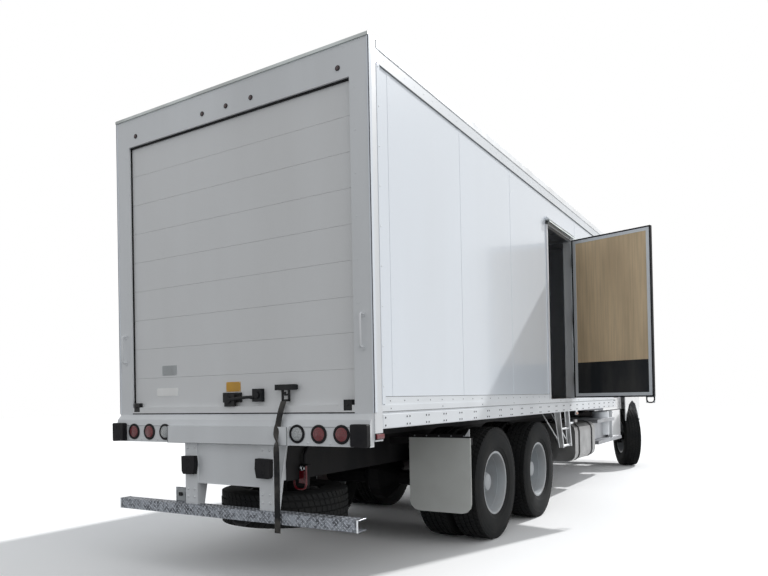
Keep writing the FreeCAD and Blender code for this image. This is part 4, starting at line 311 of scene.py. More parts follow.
FINISHES = {
    # The blue in box_white's colour is painted sky light: the tint that the sky's light gives the white
    # sides.
    "box_white": painted("box_white", (0.80, 0.85, 0.91), 0.22, amount=0.07, coat=0.4),
    "door_white": painted("door_white", (0.78, 0.79, 0.80), 0.38, amount=0.14),
    "frame_white": painted("frame_white", (0.78, 0.80, 0.82), 0.35, GRIME, 0.16),
    "cab_white": painted("cab_white", (0.82, 0.83, 0.84), 0.18, amount=0.10, coat=0.7),
    "rim_white": painted("rim_white", (0.44, 0.47, 0.49), 0.4, RUST, 0.25, 6.0),
    "rail_aluminium": painted("rail_aluminium", (0.80, 0.83, 0.86), 0.30, GRIME, 0.12),
    "flap_white": moulded("flap_white", (0.78, 0.80, 0.77), 0.6, 0.1, 60.0),
    "tread_aluminium": speckled("tread_aluminium", (0.27, 0.29, 0.32), (0.07, 0.075, 0.085)),
    "tank_aluminium": bare_metal("tank_aluminium", (0.27, 0.27, 0.27), 0.36, (1, 1, 40), GRIME, 0.45),
    "step_metal": bare_metal("step_metal", (0.34, 0.35, 0.37), 0.4, (1, 40, 1), GRIME, 0.4),
    "ladder_steel": bare_metal("ladder_steel", (0.68, 0.70, 0.72), 0.38, (1, 1, 40), DUST, 0.3),
    "exhaust_steel": bare_metal("exhaust_steel", (0.40, 0.38, 0.36), 0.45, (1, 30, 1), RUST, 0.8),
    "bumper_chrome": bare_metal("bumper_chrome", (0.72, 0.73, 0.74), 0.16, (40, 1, 1), DUST, 0.15),
    "chassis_black": painted("chassis_black", (0.006, 0.006, 0.007), 0.6, GRIME, 0.10, 3.0),
    "black_steel": painted("black_steel", (0.010, 0.011, 0.013), 0.45, DUST, 0.06, 9.0),
    "engine_iron": painted("engine_iron", (0.12, 0.12, 0.13), 0.6, RUST, 0.4, 5.0),
    "black_rubber": moulded("black_rubber", (0.008, 0.008, 0.010), 0.62, 0.04),
    "interior_grey": moulded("interior_grey", (0.14, 0.14, 0.15), 0.7, 0.1),
    "grille_black": moulded("grille_black", (0.03, 0.03, 0.035), 0.4, 0.2),
    "floor_wood": decking("floor_wood", (0.36, 0.26, 0.16), (0.16, 0.11, 0.07), FLOOR_UNDERSIDE_Z),
    "plywood": plywood("plywood", (0.86, 0.66, 0.42), (0.60, 0.45, 0.28)),
    "red_lens": lens_plastic("red_lens", (0.25, 0.003, 0.012)),
    "clear_lens": lens_plastic("clear_lens", (0.72, 0.75, 0.76)),
    "amber_lens": lens_plastic("amber_lens", (0.75, 0.22, 0.02)),
    "window_glass": window("window_glass", (0.05, 0.06, 0.06), 0.45),
    "mirror_glass": bare_metal("mirror_glass", (0.85, 0.87, 0.88), 0.03, (1, 1, 1), DUST, 0.05),
    "strap_webbing": webbing("strap_webbing", (0.005, 0.006, 0.008)),
    "yellow_plate": painted("yellow_plate", (0.62, 0.33, 0.03), 0.5, GRIME, 0.2, 9.0),
    "tyre": tyre_rubber("tyre"),
    "bolt_grey": painted("bolt_grey", (0.16, 0.17, 0.18), 0.5, GRIME, 0.4, 20.0),
    "kick_black": painted("kick_black", (0.020, 0.022, 0.025), 0.55, DUST, 0.12, 5.0),
    "lug_aluminium": bare_metal("lug_aluminium", (0.36, 0.38, 0.42), 0.35, (1, 40, 1), GRIME, 0.3),
    # Painted shade for the dark inside of the header's empty lamp holes.
    "hole_shade_red": lens_plastic("hole_shade_red", (0.06, 0.01, 0.015)),
    "cap_grey": bare_metal("cap_grey", (0.42, 0.45, 0.45), 0.45, (40, 1, 1), GRIME, 0.4),
    "shadow_grey": painted("shadow_grey", (0.20, 0.21, 0.22), 0.6, GRIME, 0.3),
    "plate_grey": painted("plate_grey", (0.42, 0.44, 0.45), 0.45, GRIME, 0.3, 12.0),
    "plate_white": painted("plate_white", (0.93, 0.93, 0.92), 0.45, GRIME, 0.05, 12.0),
    "bright_aluminium": bare_metal("bright_aluminium", (0.80, 0.82, 0.84), 0.25, (1, 40, 1), DUST, 0.15),
}
for name in DULL_BLACKS:
    shader = FINISHES[name].node_tree.nodes["Principled BSDF"]
    shader.inputs["Specular IOR Level"].default_value = DULL_SHINE
SLOT_OF = {part["node"]: part["material_slot"] for part in frame["record"]["subparts"]}
for name, node in frame["nodes"].items():
    node.data.materials.clear()
    node.data.materials.append(FINISHES[SLOT_OF[name]])


# Mesh making

LEAST_RADIUS = 1e-5
BOX_FACES = ((0, 1, 3, 2), (4, 6, 7, 5), (0, 4, 5, 1), (2, 3, 7, 6), (0, 2, 6, 4), (1, 5, 7, 3))
AXES = {"X": (Vector((1, 0, 0)), Vector((0, 1, 0)), Vector((0, 0, 1))),
        "Y": (Vector((0, 1, 0)), Vector((0, 0, 1)), Vector((1, 0, 0))),
        "Z": (Vector((0, 0, 1)), Vector((1, 0, 0)), Vector((0, 1, 0)))}


def circle(sides):
    """Directions spaced evenly round z."""
    angles = [math.tau * index / sides for index in range(sides)]
    return [Vector((math.cos(angle), math.sin(angle), 0)) for angle in angles]


class Form:
    """Points and faces of one piece, in the truck's frame or in that of a body that stands turned."""

    def __init__(self, place=IN_TRUCK):
        self.place = place
        self.points = []
        self.faces = []

    def add(self, points, faces):
        first = len(self.points)
        self.points += [self.place @ Vector(point) for point in points]
        self.faces += [[first + index for index in face] for face in faces]

    def box(self, x, y, z):
        self.add([(a, b, c) for a in x for b in y for c in z], BOX_FACES)

    def boxes(self, *boxes):
        for box in boxes:
            self.box(*box)

    def profiled(self, side, outline, y, from_x=0.0):
        """A prism along y on one side of the truck, its outline in x and z given for the right."""
        self.prism("Y", [(side * (from_x + x), z) for x, z in outline], *y)

    def prism(self, axis, outline, start, end):
        """An outline across one axis, drawn in the order of the other two, from a start to an end."""
        place = "XYZ".index(axis)
        count = len(outline)
        points = [(*point[:place], along, *point[place:]) for along in (start, end) for point in outline]
        sides = [(i, (i + 1) % count, count + (i + 1) % count, count + i) for i in range(count)]
        self.add(points, [tuple(range(count)), tuple(range(2 * count - 1, count - 1, -1))] + sides)

    def rings(self, rings, closed=False, capped=True):
        """Joins rings of points, each with as many points as the next."""
        count = len(rings[0])
        points = [point for ring in rings for point in ring]
        faces = []
        pairs = [(i, i + 1) for i in range(len(rings) - 1)] + ([(len(rings) - 1, 0)] if closed else [])
        for near, far in pairs:
            for i in range(count):
                after = (i + 1) % count
                faces.append((near * count + i, near * count + after, far * count + after, far * count + i))
        if capped and not closed:
            faces += [tuple(range(count)), tuple(range(len(points) - 1, len(points) - 1 - count, -1))]
        self.add(points, faces)

    def turned(self, profile, centre, axis="X", sides=32, closed=False, capped=False):
        """A profile of distances along and out from an axis, turned about it through a centre."""
        along, across, up = AXES[axis]
        centre = Vector(centre)
        turns = [math.tau * i / sides for i in range(sides)]
        ways = [across * math.cos(turn) + up * math.sin(turn) for turn in turns]
        rings = [[centre + along * a + way * max(r, LEAST_RADIUS) for way in ways] for a, r in profile]
        self.rings(rings, closed, capped)

    def rod(self, start, end, radius, sides=10):
        start, end = Vector(start), Vector(end)
        turn = (end - start).to_track_quat("Z", "Y")
        self.rings([[spot + turn @ way * radius for way in circle(sides)] for spot in (start, end)])

    def pipe(self, path, radius, sides=8):
        """A round tube along a path of points, mitred at its corners."""
        path = [Vector(point) for point in path]
        rings = []
        turn = (path[1] - path[0]).to_track_quat("Z", "Y")
        for index, point in enumerate(path):
            ahead = path[min(index + 1, len(path) - 1)] - path[max(index - 1, 0)]
            turn = (turn @ Vector((0, 0, 1))).rotation_difference(ahead) @ turn
            rings.append([point + turn @ way * radius for way in circle(sides)])
        self.rings(rings)

    def dome(self, spot, outward, radius, height, sides=8):
        """A rivet or bolt head that stands on a surface."""
        spot, outward = Vector(spot), Vector(outward)
        turn = outward.to_track_quat("Z", "Y")
        rings = []
        for lift, share in ((-0.15, 1.0), (0.45, 0.85), (1.0, 0.35)):
            up = Vector((0, 0, lift * height))
            rings.append([spot + turn @ (way * radius * share + up) for way in circle(sides)])
        self.rings(rings)


CRISP_ANGLE = 38


def piece(form, name, finish, body="chassis", crisp=CRISP_ANGLE, bevel=0.0, replaces=(), smooth=True):
    """Makes a form into an object that rides on a body."""
    work = bmesh.new()
    mesh = bpy.data.meshes.new(name)
    mesh.from_pydata(form.points, [], form.faces)
    work.from_mesh(mesh)
    bmesh.ops.recalc_face_normals(work, faces=work.faces)
    for face in work.faces:
        face.smooth = smooth
    for edge in work.edges:
        edge.smooth = edge.calc_face_angle(math.pi) < math.radians(crisp)
    work.to_mesh(mesh)
    work.free()
    made = bpy.data.objects.new(name, mesh)
    bpy.context.scene.collection.objects.link(made)
    mesh.materials.append(FINISHES[finish])
    if bevel:
        soften(made, bevel)
    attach(made, body)
    if replaces:
        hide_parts(*replaces)
    return made


def soften(made, width, segments=2):
    """Rounds an object's sharp edges a little, so that they catch the light."""
    rounding = made.modifiers.new("Edges", "BEVEL")
    rounding.width = width
    rounding.segments = segments
    rounding.limit_method = "ANGLE"
    rounding.angle_limit = math.radians(CRISP_ANGLE)
    rounding.harden_normals = True


# Floor, world and lamps

FLOOR_REACH = 60
AMBIENT = 0.60
SUN_TRAVEL = Vector((-1, -3.0, -2.21))
SUN_STRENGTH = 2.6
FILL_TRAVEL = Vector((-1, 0.05, -0.3))
FILL_STRENGTH = 0.6
SUN_SPREAD = 1.5
FILL_SPREAD = 50
SKY = (0.95, 0.975, 1.0)
BACKDROP = (1, 1, 1)
FLOOR_SEEN = 1.05
FLOOR_GREY = 0.24


def plain_view(tree):
    """1 for rays that show the backdrop itself, seen straight, mirrored or through glass."""
    rays = tree.nodes.new("ShaderNodeLightPath")
    total = rays.outputs["Is Camera Ray"]
    for word in ("Is Glossy Ray", "Is Transmission Ray"):
        widest = tree.nodes.new("ShaderNodeMath")
        widest.operation = "MAXIMUM"
        tree.links.new(total, widest.inputs[0])
        tree.links.new(rays.outputs[word], widest.inputs[1])
        total = widest.outputs["Value"]
    return total


def make_world():
    world = bpy.data.worlds.new("World")
    bpy.context.scene.world = world
    world.use_nodes = True
    tree = world.node_tree
    soft = tree.nodes["Background"]
    soft.inputs["Color"].default_value = (*SKY, 1)
    soft.inputs["Strength"].default_value = AMBIENT
    white = tree.nodes.new("ShaderNodeBackground")
    white.inputs["Color"].default_value = (*BACKDROP, 1)
    choice = tree.nodes.new("ShaderNodeMixShader")
    tree.links.new(plain_view(tree), choice.inputs[0])
    tree.links.new(soft.outputs["Background"], choice.inputs[1])
    tree.links.new(white.outputs["Background"], choice.inputs[2])
    tree.links.new(choice.outputs["Shader"], tree.nodes["World Output"].inputs["Surface"])


def make_floor():
    material = bpy.data.materials.new("floor")
    material.use_nodes = True
    tree = material.node_tree
    tree.nodes.remove(tree.nodes["Principled BSDF"])
    shade = tree.nodes.new("ShaderNodeMapRange")
    shade.inputs["To Min"].default_value = FLOOR_GREY
    shade.inputs["To Max"].default_value = FLOOR_SEEN
    tree.links.new(plain_view(tree), shade.inputs["Value"])
    surface = tree.nodes.new("ShaderNodeBsdfDiffuse")
    tree.links.new(shade.outputs["Result"], surface.inputs["Color"])
    tree.links.new(surface.outputs["BSDF"], tree.nodes["Material Output"].inputs["Surface"])
    mesh = bpy.data.meshes.new("floor")
    corners = [(FLOOR_REACH * x, FLOOR_REACH * y, 0) for x, y in ((-1, -1), (1, -1), (1, 1), (-1, 1))]
    mesh.from_pydata(corners, [], [(0, 1, 2, 3)])
    mesh.materials.append(material)
    floor = bpy.data.objects.new("floor", mesh)
    bpy.context.scene.collection.objects.link(floor)


def make_lamp(name, travel, strength, spread):
    lamp = bpy.data.lights.new(name, "SUN")
    lamp.energy = strength
    lamp.angle = math.radians(spread)
    holder = bpy.data.objects.new(name, lamp)
    holder.rotation_euler = travel.to_track_quat("-Z", "Y").to_euler()
    bpy.context.scene.collection.objects.link(holder)


make_world()
make_floor()
make_lamp("Sun", SUN_TRAVEL, SUN_STRENGTH, SUN_SPREAD)
make_lamp("Fill", FILL_TRAVEL, FILL_STRENGTH, FILL_SPREAD)


# Wheels

def centre_of(node):
    """The middle of a node, in the truck's frame."""
    low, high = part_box(node)
    return (low + high) / 2 - TRUCK


DUAL_X = centre_of("rear_right_tyres").x
REAR_AXLE_Y = centre_of("rear_right_tyres").y
MID_AXLE_Y = centre_of("mid_right_tyres").y
TYRE_RADIUS = centre_of("rear_right_tyres").z
TYRE_GAP = 0.1675
KINGPIN_X = 0.820
KINGPIN_OFFSET = 0.180
FRONT_AXLE_Y = 9.610
PARK_STEER = math.radians(25)
TREAD_BASE = 0.511
TREAD_PITCHES = 66
RIBS = ((-0.122, -0.082), (-0.070, -0.030), (-0.019, 0.019), (0.030, 0.070), (0.082, 0.122))
SIDEWALL = ((0.097, 0.287), (0.113, 0.296), (0.122, 0.311), (0.126, 0.330), (0.1325, 0.338),
            (0.1335, 0.345), (0.1345, 0.352), (0.1385, 0.385), (0.140, 0.415), (0.1375, 0.446),
            (0.1345, 0.462), (0.1365, 0.467), (0.134, 0.474), (0.130, 0.492), (0.126, 0.505),
            (0.118, TREAD_BASE))
RIM_INSIDE = ((-0.100, 0.270), (0.030, 0.256), (0.060, 0.238))
STUD_CIRCLE = 0.143
STUDS = 10
HUB_BOLTS = 8
HUB_BOLT_CIRCLE = 0.088
HUB_FACE = 0.178
HAND_HOLES = 10
HOLE_RADIUS = 0.020
DISC_THICKNESS = 0.014
DISH_INNER = 0.172
DISH_OUTER = 0.238
DISH_SLOPE = 0.06
DISC_LIFT = 0.066
WHEEL_SIDES = 64


def tyre_rings(form, centre, sides=80):
    """A tyre's casing, its sidewalls mirrored about its middle."""
    left = [(centre - x, r) for x, r in SIDEWALL]
    right = [(centre + x, r) for x, r in reversed(SIDEWALL)]
    form.turned(left + right, (0, 0, 0), "X", sides, closed=True)


def tread_blocks(form, centre):
    """Ribs cut into blocks that lean a little, one pitch apart from rib to rib."""
    step = math.tau / TREAD_PITCHES
    for index, (low, high) in enumerate(RIBS):
        shoulder = index in (0, len(RIBS) - 1)
        outer = TYRE_RADIUS - (0.004 if shoulder else 0)
        share = 0.80 if shoulder else 0.88
        lean = step * 0.25 * (index - 2)
        for turn in range(TREAD_PITCHES):
            start = turn * step + (step / 2 if index % 2 else 0)
            points = []
            for x, slant in ((low, 0), (high, lean)):
                for r in (TREAD_BASE - 0.004, outer):
                    for angle in (start + slant, start + slant + step * share):
                        points.append((centre + x, r * math.cos(angle), r * math.sin(angle)))
            form.add(points, BOX_FACES)


def holed_disc(form, lift, inner, outer, hole, thick, sides=16):
    """A ring of a disc with round hand holes, its surface lifted along x by its radius."""
    middle, half = (inner + outer) / 2, (outer - inner) / 2
    swing = math.pi / HAND_HOLES

    def spot(r, angle, back=0.0):
        return (lift(r) - back, r * math.cos(angle), r * math.sin(angle))

    for index in range(HAND_HOLES):
        centre = math.tau * index / HAND_HOLES
        rim, edge, well = [], [], []
        for turn in range(sides):
            phi = math.tau * (turn + 0.5) / sides
            reach = max(abs(math.cos(phi)), abs(math.sin(phi)))
            rim.append(spot(middle + half * math.cos(phi) / reach, centre + swing * math.sin(phi) / reach))
            r, angle = middle + hole * math.cos(phi), centre + hole * math.sin(phi) / middle
            edge.append(spot(r, angle))
            well.append(spot(r, angle, thick))
        form.rings([rim, edge, well], capped=False)


def nuts(form, face):
    """Wheel nuts with their washers and stud ends, round a face at a distance along x."""
    for index in range(STUDS):
        angle = math.tau * (index + 0.5) / STUDS
        spot = Vector((face, STUD_CIRCLE * math.cos(angle), STUD_CIRCLE * math.sin(angle)))
        out = Vector((1, 0, 0))
        form.rod(spot - out * 0.004, spot + out * 0.006, 0.023, 14)
        form.rod(spot + out * 0.006, spot + out * 0.032, 0.0185, 6)
        form.rod(spot + out * 0.032, spot + out * 0.046, 0.0105, 10)


def rim_lip(outward, centre):
    """A drop-centre barrel's own section, from its outer lip in to the well and back along its inside."""
    side = 1 if outward else -1
    section = ((0.111, 0.276), (0.1125, 0.300), (0.109, 0.3065), (0.101, 0.304), (0.098, 0.290),
               (0.090, 0.2865), (0.045, 0.284), (0.030, 0.262))
    return [(centre + side * x, r) for x, r in section]


def dual_wheel(place):
    """The tyres, rims and hub of one side of a drive axle, drawn outwards along x."""
    tyres, rims, hub = Form(place), Form(place), Form(place)
    for centre in (-TYRE_GAP, TYRE_GAP):
        tyre_rings(tyres, centre)
        tread_blocks(tyres, centre)
    barrel = rim_lip(False, TYRE_GAP) + rim_lip(True, TYRE_GAP)[::-1]
    bowl = [(TYRE_GAP + 0.104, 0.272), (TYRE_GAP + 0.04, 0.266), (0.13, 0.252), (0.075, 0.247),
            (0.046, 0.238)]
    rims.turned(barrel + bowl, (0, 0, 0), "X", WHEEL_SIDES)

    def dish(r):
        return 0.046 - 0.030 * min(1.0, (DISH_OUTER - r) / DISH_SLOPE)

    holed_disc(rims, dish, DISH_INNER, DISH_OUTER, HOLE_RADIUS, DISC_THICKNESS)
    rims.turned([(0.016, DISH_INNER), (0.016, 0.112), (0.030, 0.106)], (0, 0, 0), "X", WHEEL_SIDES)
    inner = rim_lip(True, -TYRE_GAP) + rim_lip(False, -TYRE_GAP)[::-1]
    back = [(-TYRE_GAP - 0.104, 0.272), (-TYRE_GAP + 0.05, 0.262), (-0.05, 0.245), (-0.012, 0.235),
            (-0.004, 0.20), (-0.004, 0.10)]
    rims.turned(inner + back, (0, 0, 0), "X", WHEEL_SIDES)
    nuts(hub, 0.018)
    hub.turned([(0.000, 0.118), (0.030, 0.112), (0.036, 0.096), (0.130, 0.088), (0.158, 0.090),
                (0.166, 0.096), (HUB_FACE, 0.096), (0.184, 0.088), (0.205, 0.078), (0.2125, 0.060),
                (0.2125, 0.0)], (0, 0, 0), "X", 40)
    for index in range(HUB_BOLTS):
        angle = math.tau * index / HUB_BOLTS
        spot = (HUB_FACE, HUB_BOLT_CIRCLE * math.cos(angle), HUB_BOLT_CIRCLE * math.sin(angle))
        hub.dome(spot, (1, 0, 0), 0.009, 0.012, 6)
    drum = Form(place)
    drum.turned([(-0.250, 0.060), (-0.250, 0.196), (-0.244, 0.208), (-0.228, 0.210), (-0.224, 0.202),
                 (-0.100, 0.202), (-0.094, 0.210), (-0.066, 0.210), (-0.060, 0.200), (-0.048, 0.120),
                 (0.000, 0.112)], (0, 0, 0), "X", 48)
    return tyres, rims, hub, drum


def front_wheel(place):
    """A single front wheel whose disc bulges outwards, drawn about its kingpin."""
    tyre, rim, hub = Form(place), Form(place), Form(place)
    tyre_rings(tyre, KINGPIN_OFFSET)
    tread_blocks(tyre, KINGPIN_OFFSET)
    barrel = rim_lip(True, KINGPIN_OFFSET) + rim_lip(False, KINGPIN_OFFSET)[::-1]
    middle = (KINGPIN_OFFSET, 0, 0)
    rim.turned(barrel + [(KINGPIN_OFFSET + along, r) for along, r in RIM_INSIDE], (0, 0, 0), "X",
               WHEEL_SIDES)
    rim.turned([(0.111, 0.272), (0.060, 0.262), (DISC_LIFT, DISH_OUTER)], middle, "X", WHEEL_SIDES)

    def face(r):
        return KINGPIN_OFFSET + DISC_LIFT + 0.024 * min(1.0, (DISH_OUTER - r) / DISH_SLOPE)

    holed_disc(rim, face, DISH_INNER, DISH_OUTER, HOLE_RADIUS, DISC_THICKNESS)
    rim.turned([(0.090, DISH_INNER), (0.090, 0.085)], middle, "X", WHEEL_SIDES)
    nuts(hub, KINGPIN_OFFSET + 0.092)
    hub.turned([(-0.06, 0.088), (0.094, 0.088), (0.100, 0.084), (0.128, 0.080), (0.136, 0.066),
                (0.138, 0.0)], middle, "X", 40)
    return tyre, rim, hub


def turned_place(x, y, turn):
    """A wheel's frame at a spot beside the truck, turned about z."""
    return Matrix.Translation(TRUCK + Vector((x, y, TYRE_RADIUS))) @ Matrix.Rotation(turn, 4, "Z")


def all_wheels():
    """Four pairs of duals and two steered wheels, each riding on its own body."""
    for axle, y in (("rear", REAR_AXLE_Y), ("mid", MID_AXLE_Y)):
        for side, tag in ((-1, "left"), (1, "right")):
            place = f"{axle}_{tag}"
            tyres, rims, hub, drum = dual_wheel(turned_place(side * DUAL_X, y, 0 if side > 0 else math.pi))
            body = f"{axle}_wheel_{tag}"
            piece(tyres, place + "_tread", "tyre", body, 30, replaces=(place + "_tyres",))
            piece(rims, place + "_wheel_discs", "rim_white", body, 40, replaces=(place + "_rims",))
            piece(hub, place + "_hub_and_nuts", "rim_white", body, 40)
            piece(drum, place + "_drum", "engine_iron", body, 40)
    for side, tag in ((-1, "left"), (1, "right")):
        turn = PARK_STEER if side > 0 else PARK_STEER + math.pi
        tyre, rim, hub = front_wheel(turned_place(side * KINGPIN_X, FRONT_AXLE_Y, turn))
        body = "front_wheel_" + tag
        piece(tyre, f"front_{tag}_tread", "tyre", body, 30, replaces=("front_tyre_" + tag,))
        piece(rim, f"front_{tag}_wheel_disc", "rim_white", body, 40, replaces=("front_rim_" + tag,))
        piece(hub, f"front_{tag}_hub_and_nuts", "rim_white", body, 40)


all_wheels()


# Rear end

SKIN_X = reach("cargo_rails", "x")
SILL_Y = reach("rear_rubbers", "y")
SILL_X = 1.262
DOOR_X = 1.117
DOOR_Y = (0.030, 0.070)
DOOR_Z = (1.297, 3.507)
DOOR_SECTIONS = 9
DOOR_FOOT_Z = 1.250
DOOR_HINGE_X = (-0.9, -0.45, 0.0, 0.45, 0.9)
TRACK_X = (1.078, 1.112)
ROLLER_Y = 0.078
SECTION_GAP = 0.0004
CORNER_Z = (1.246, 3.752)
POST_SIDE_RIVET_Z = row(1.42, 0.27, 9)
POST_RIVET_Z = row(1.40, 0.29, 8)
HEADER_RIVET_X = row(-1.08, 0.27, 9)
LAMP_Z = 1.102
LENS_RADIUS = 0.0475
RED_LAMP_X = (0.855, 1.042)
CLEAR_LAMP_X = 0.668
HEADER_HOLE_X = (-1.03, -0.25, 0.0, 0.25, 1.03)
HEADER_HOLE_Z = 3.590
SIDE_LAMP_Z = (1.071, 1.104)
CENTRE_PLATE_X = 0.601
CENTRE_PLATE_Y = -0.0865
SILL_BOLT_X = (0.76, 0.95, 1.10)
POST_X = 0.380
POST_BOLT_SHIFT = 0.035
POST_BOLT_Z = (0.60, 0.66, 0.98)
PANEL_X = 0.314
SPARE_Y = 0.640
SPARE_Z = 0.490


def overhead_door():
    """Sections that meet in fine lines, with a flexible seal round them and rollers behind."""
    panels, seal = Form(), Form()
    height = (DOOR_Z[1] - DOOR_Z[0]) / DOOR_SECTIONS
    for index in range(DOOR_SECTIONS):
        low = DOOR_Z[0] + index * height
        panels.box((-DOOR_X, DOOR_X), DOOR_Y, (low + SECTION_GAP, low + height - SECTION_GAP))
    for _, x in both((DOOR_X - 0.004, DOOR_X + 0.0035)):
        seal.box(x, (0.018, 0.034), (1.296, 3.508))
    seal.box((-1.12, 1.12), (0.016, 0.034), (3.498, 3.511))
    foot = Form()
    foot.box((-1.116, 1.116), (-0.0022, 0.030), (DOOR_FOOT_Z, 1.300))
    seal.box((-1.117, 1.117), (-0.0030, 0.010), (DOOR_FOOT_Z - 0.007, DOOR_FOOT_Z + 0.001))
    piece(foot, "overhead_door_foot", "door_white", bevel=0.001)
    made = piece(panels, "overhead_door_sections", "door_white", replaces=("overhead_door",))
    soften(made, 0.0016)
    piece(seal, "overhead_door_seal", "black_rubber")
    track, rollers = Form(), Form()
    joints = [DOOR_Z[0] + index * height for index in range(1, DOOR_SECTIONS)]
    for side, x in both(TRACK_X):
        for z in joints:
            inner_end = (side * (TRACK_X[0] - 0.008), ROLLER_Y, z)
            rollers.rod(inner_end, (side * TRACK_X[1], ROLLER_Y, z), 0.012)
        track.box(x, (0.0705, 0.0735), (1.31, 3.49))
    for z in joints:
        for x in DOOR_HINGE_X:
            rollers.box(span(x, 0.03), (0.0695, 0.0735), span(z, 0.05))
    piece(track, "overhead_door_tracks", "rail_aluminium")
    piece(rollers, "overhead_door_hinges_and_rollers", "ladder_steel")


def frame_trim():
    """Cap along the header, bright corner angles, jamb lips, rivets and the threshold plate."""
    cap, angles, rivets, plate = Form(), Form(), Form(), Form()
    outer = SKIN_X + 0.004
    profile = [(-0.010, 3.745), (-0.010, 3.764), (-0.004, 3.772), (0.020, 3.772), (0.020, 3.766),
               (0.0, 3.764), (0.0, 3.745)]
    cap.prism("X", profile, -outer, outer)
    for side, x in both((SKIN_X - 0.004, outer)):
        angles.box(x, (-0.004, 0.030), CORNER_Z)
        angles.box(mirrored(side, SILL_X, outer), (-0.004, 0.0004), CORNER_Z)
        angles.box(mirrored(side, SKIN_X - 0.001, SKIN_X + 0.003), (0.098, 0.140), (1.30, 3.60))
        for z in POST_SIDE_RIVET_Z:
            rivets.dome((side * (SKIN_X + 0.003), 0.118, z), (side, 0, 0), 0.006, 0.003)
        for z in POST_RIVET_Z:
            rivets.dome((side * 1.160, -0.0005, z), (0, -1, 0), 0.0055, 0.0025)
    for x in HEADER_RIVET_X:
        rivets.dome((x, -0.0005, 3.715), (0, -1, 0), 0.0055, 0.0025)
    plate.box((-1.150, 1.150), (-0.0030, 0.001), (1.2405, 1.2425))
    plate.box((-1.116, 1.116), (0.072, 0.098), (1.2935, 1.2965))
    piece(cap, "header_cap", "cap_grey", crisp=30)
    piece(angles, "corner_angles", "box_white", bevel=0.0015)
    piece(rivets, "rear_frame_rivets", "frame_white")
    piece(plate, "threshold_plate", "rail_aluminium", bevel=0.001)


def round_lamp(lens, grommet, x):
    """A lamp in its rubber grommet, its lens domed towards the rear."""
    centre = (x, SILL_Y, LAMP_Z)
    grommet.turned([(0.012, 0.060), (-0.002, 0.066), (-0.006, 0.0655), (-0.0085, 0.062), (-0.009, 0.052),
                    (-0.003, LENS_RADIUS)], centre, "Y", 40)
    lens.turned([(0.006, LENS_RADIUS), (-0.007, LENS_RADIUS), (-0.0105, 0.0425), (-0.0115, 0.034),
                 (-0.010, 0.032), (-0.0125, 0.025), (-0.014, 0.0)], centre, "Y", 36)


def rear_lamps():
    """Sill lamps, header lamp holes and side markers. Gives back the form of all their grommets."""
    red, clear, grommets = Form(), Form(), Form()
    for side in (1, -1):
        for x in RED_LAMP_X:
            round_lamp(red, grommets, side * x)
        round_lamp(clear, grommets, side * CLEAR_LAMP_X)
    hole_discs = Form()
    for x in HEADER_HOLE_X:
        spot = (x, 0, HEADER_HOLE_Z)
        ring = [(0.004, 0.017), (-0.0035, 0.019), (-0.006, 0.0165), (-0.003, 0.013)]
        grommets.turned(ring, spot, "Y", 20)
        # Painted shade: a dark disc in each header grommet stands for the dark inside of an empty lamp
        # hole.
        hole_discs.turned([(0.004, 0.0145), (-0.005, 0.0135), (-0.008, 0.008), (-0.009, 0.0)], spot, "Y", 20)
    low, high = SIDE_LAMP_Z
    out = SKIN_X + 0.0005
    for side in (1, -1):
        outline = ((out, low), (out, high), (out + 0.009, high), (out + 0.0125, high - 0.006),
                   (out + 0.0125, low + 0.006), (out + 0.009, low))
        red.profiled(side, outline, (0.0035, 0.0965))
        grommets.box(mirrored(side, out - 0.002, out + 0.003), (-0.003, 0.103), (low - 0.005, high + 0.005))
    piece(red, "red_lenses", "red_lens", replaces=("red_lamps",))
    piece(clear, "reversing_lenses", "clear_lens", replaces=("reverse_lamps",))
    piece(hole_discs, "header_hole_shade_discs", "hole_shade_red")
    return grommets


def rear_rubbers(grommets):
    """Dock bumpers with bolt wells, the tapered post buffers and the lamp grommets."""
    bumpers = Form()
    for side in (1, -1):
        outline = ((1.137, 1.025), (1.262, 1.020), (1.268, 1.030), (1.268, 1.165), (1.260, 1.173),
                   (1.143, 1.173), (1.135, 1.165), (1.135, 1.030))
        bumpers.profiled(side, outline, (-0.095, SILL_Y))
        well = [(-0.096, 0.016), (-0.0985, 0.0185), (-0.096, 0.021)]
        for z in (1.062, 1.132):
            bumpers.turned(well, (side * 1.201, 0, z), "Y", 20)
        outline = ((-0.062, 0.780), (0.050, 0.778), (0.066, 0.800), (0.068, 0.918), (-0.070, 0.922),
                   (-0.076, 0.850))
        bumpers.profiled(side, outline, (-0.092, SILL_Y), POST_X)
        well = [(-0.093, 0.013), (-0.0955, 0.0155), (-0.093, 0.018)]
        for z in (0.820, 0.885):
            bumpers.turned(well, (side * POST_X, 0, z), "Y", 20)
    made = piece(bumpers, "dock_bumpers", "black_rubber", replaces=("rear_rubbers",))
    soften(made, 0.006, 3)
    piece(grommets, "lamp_grommets", "black_rubber")


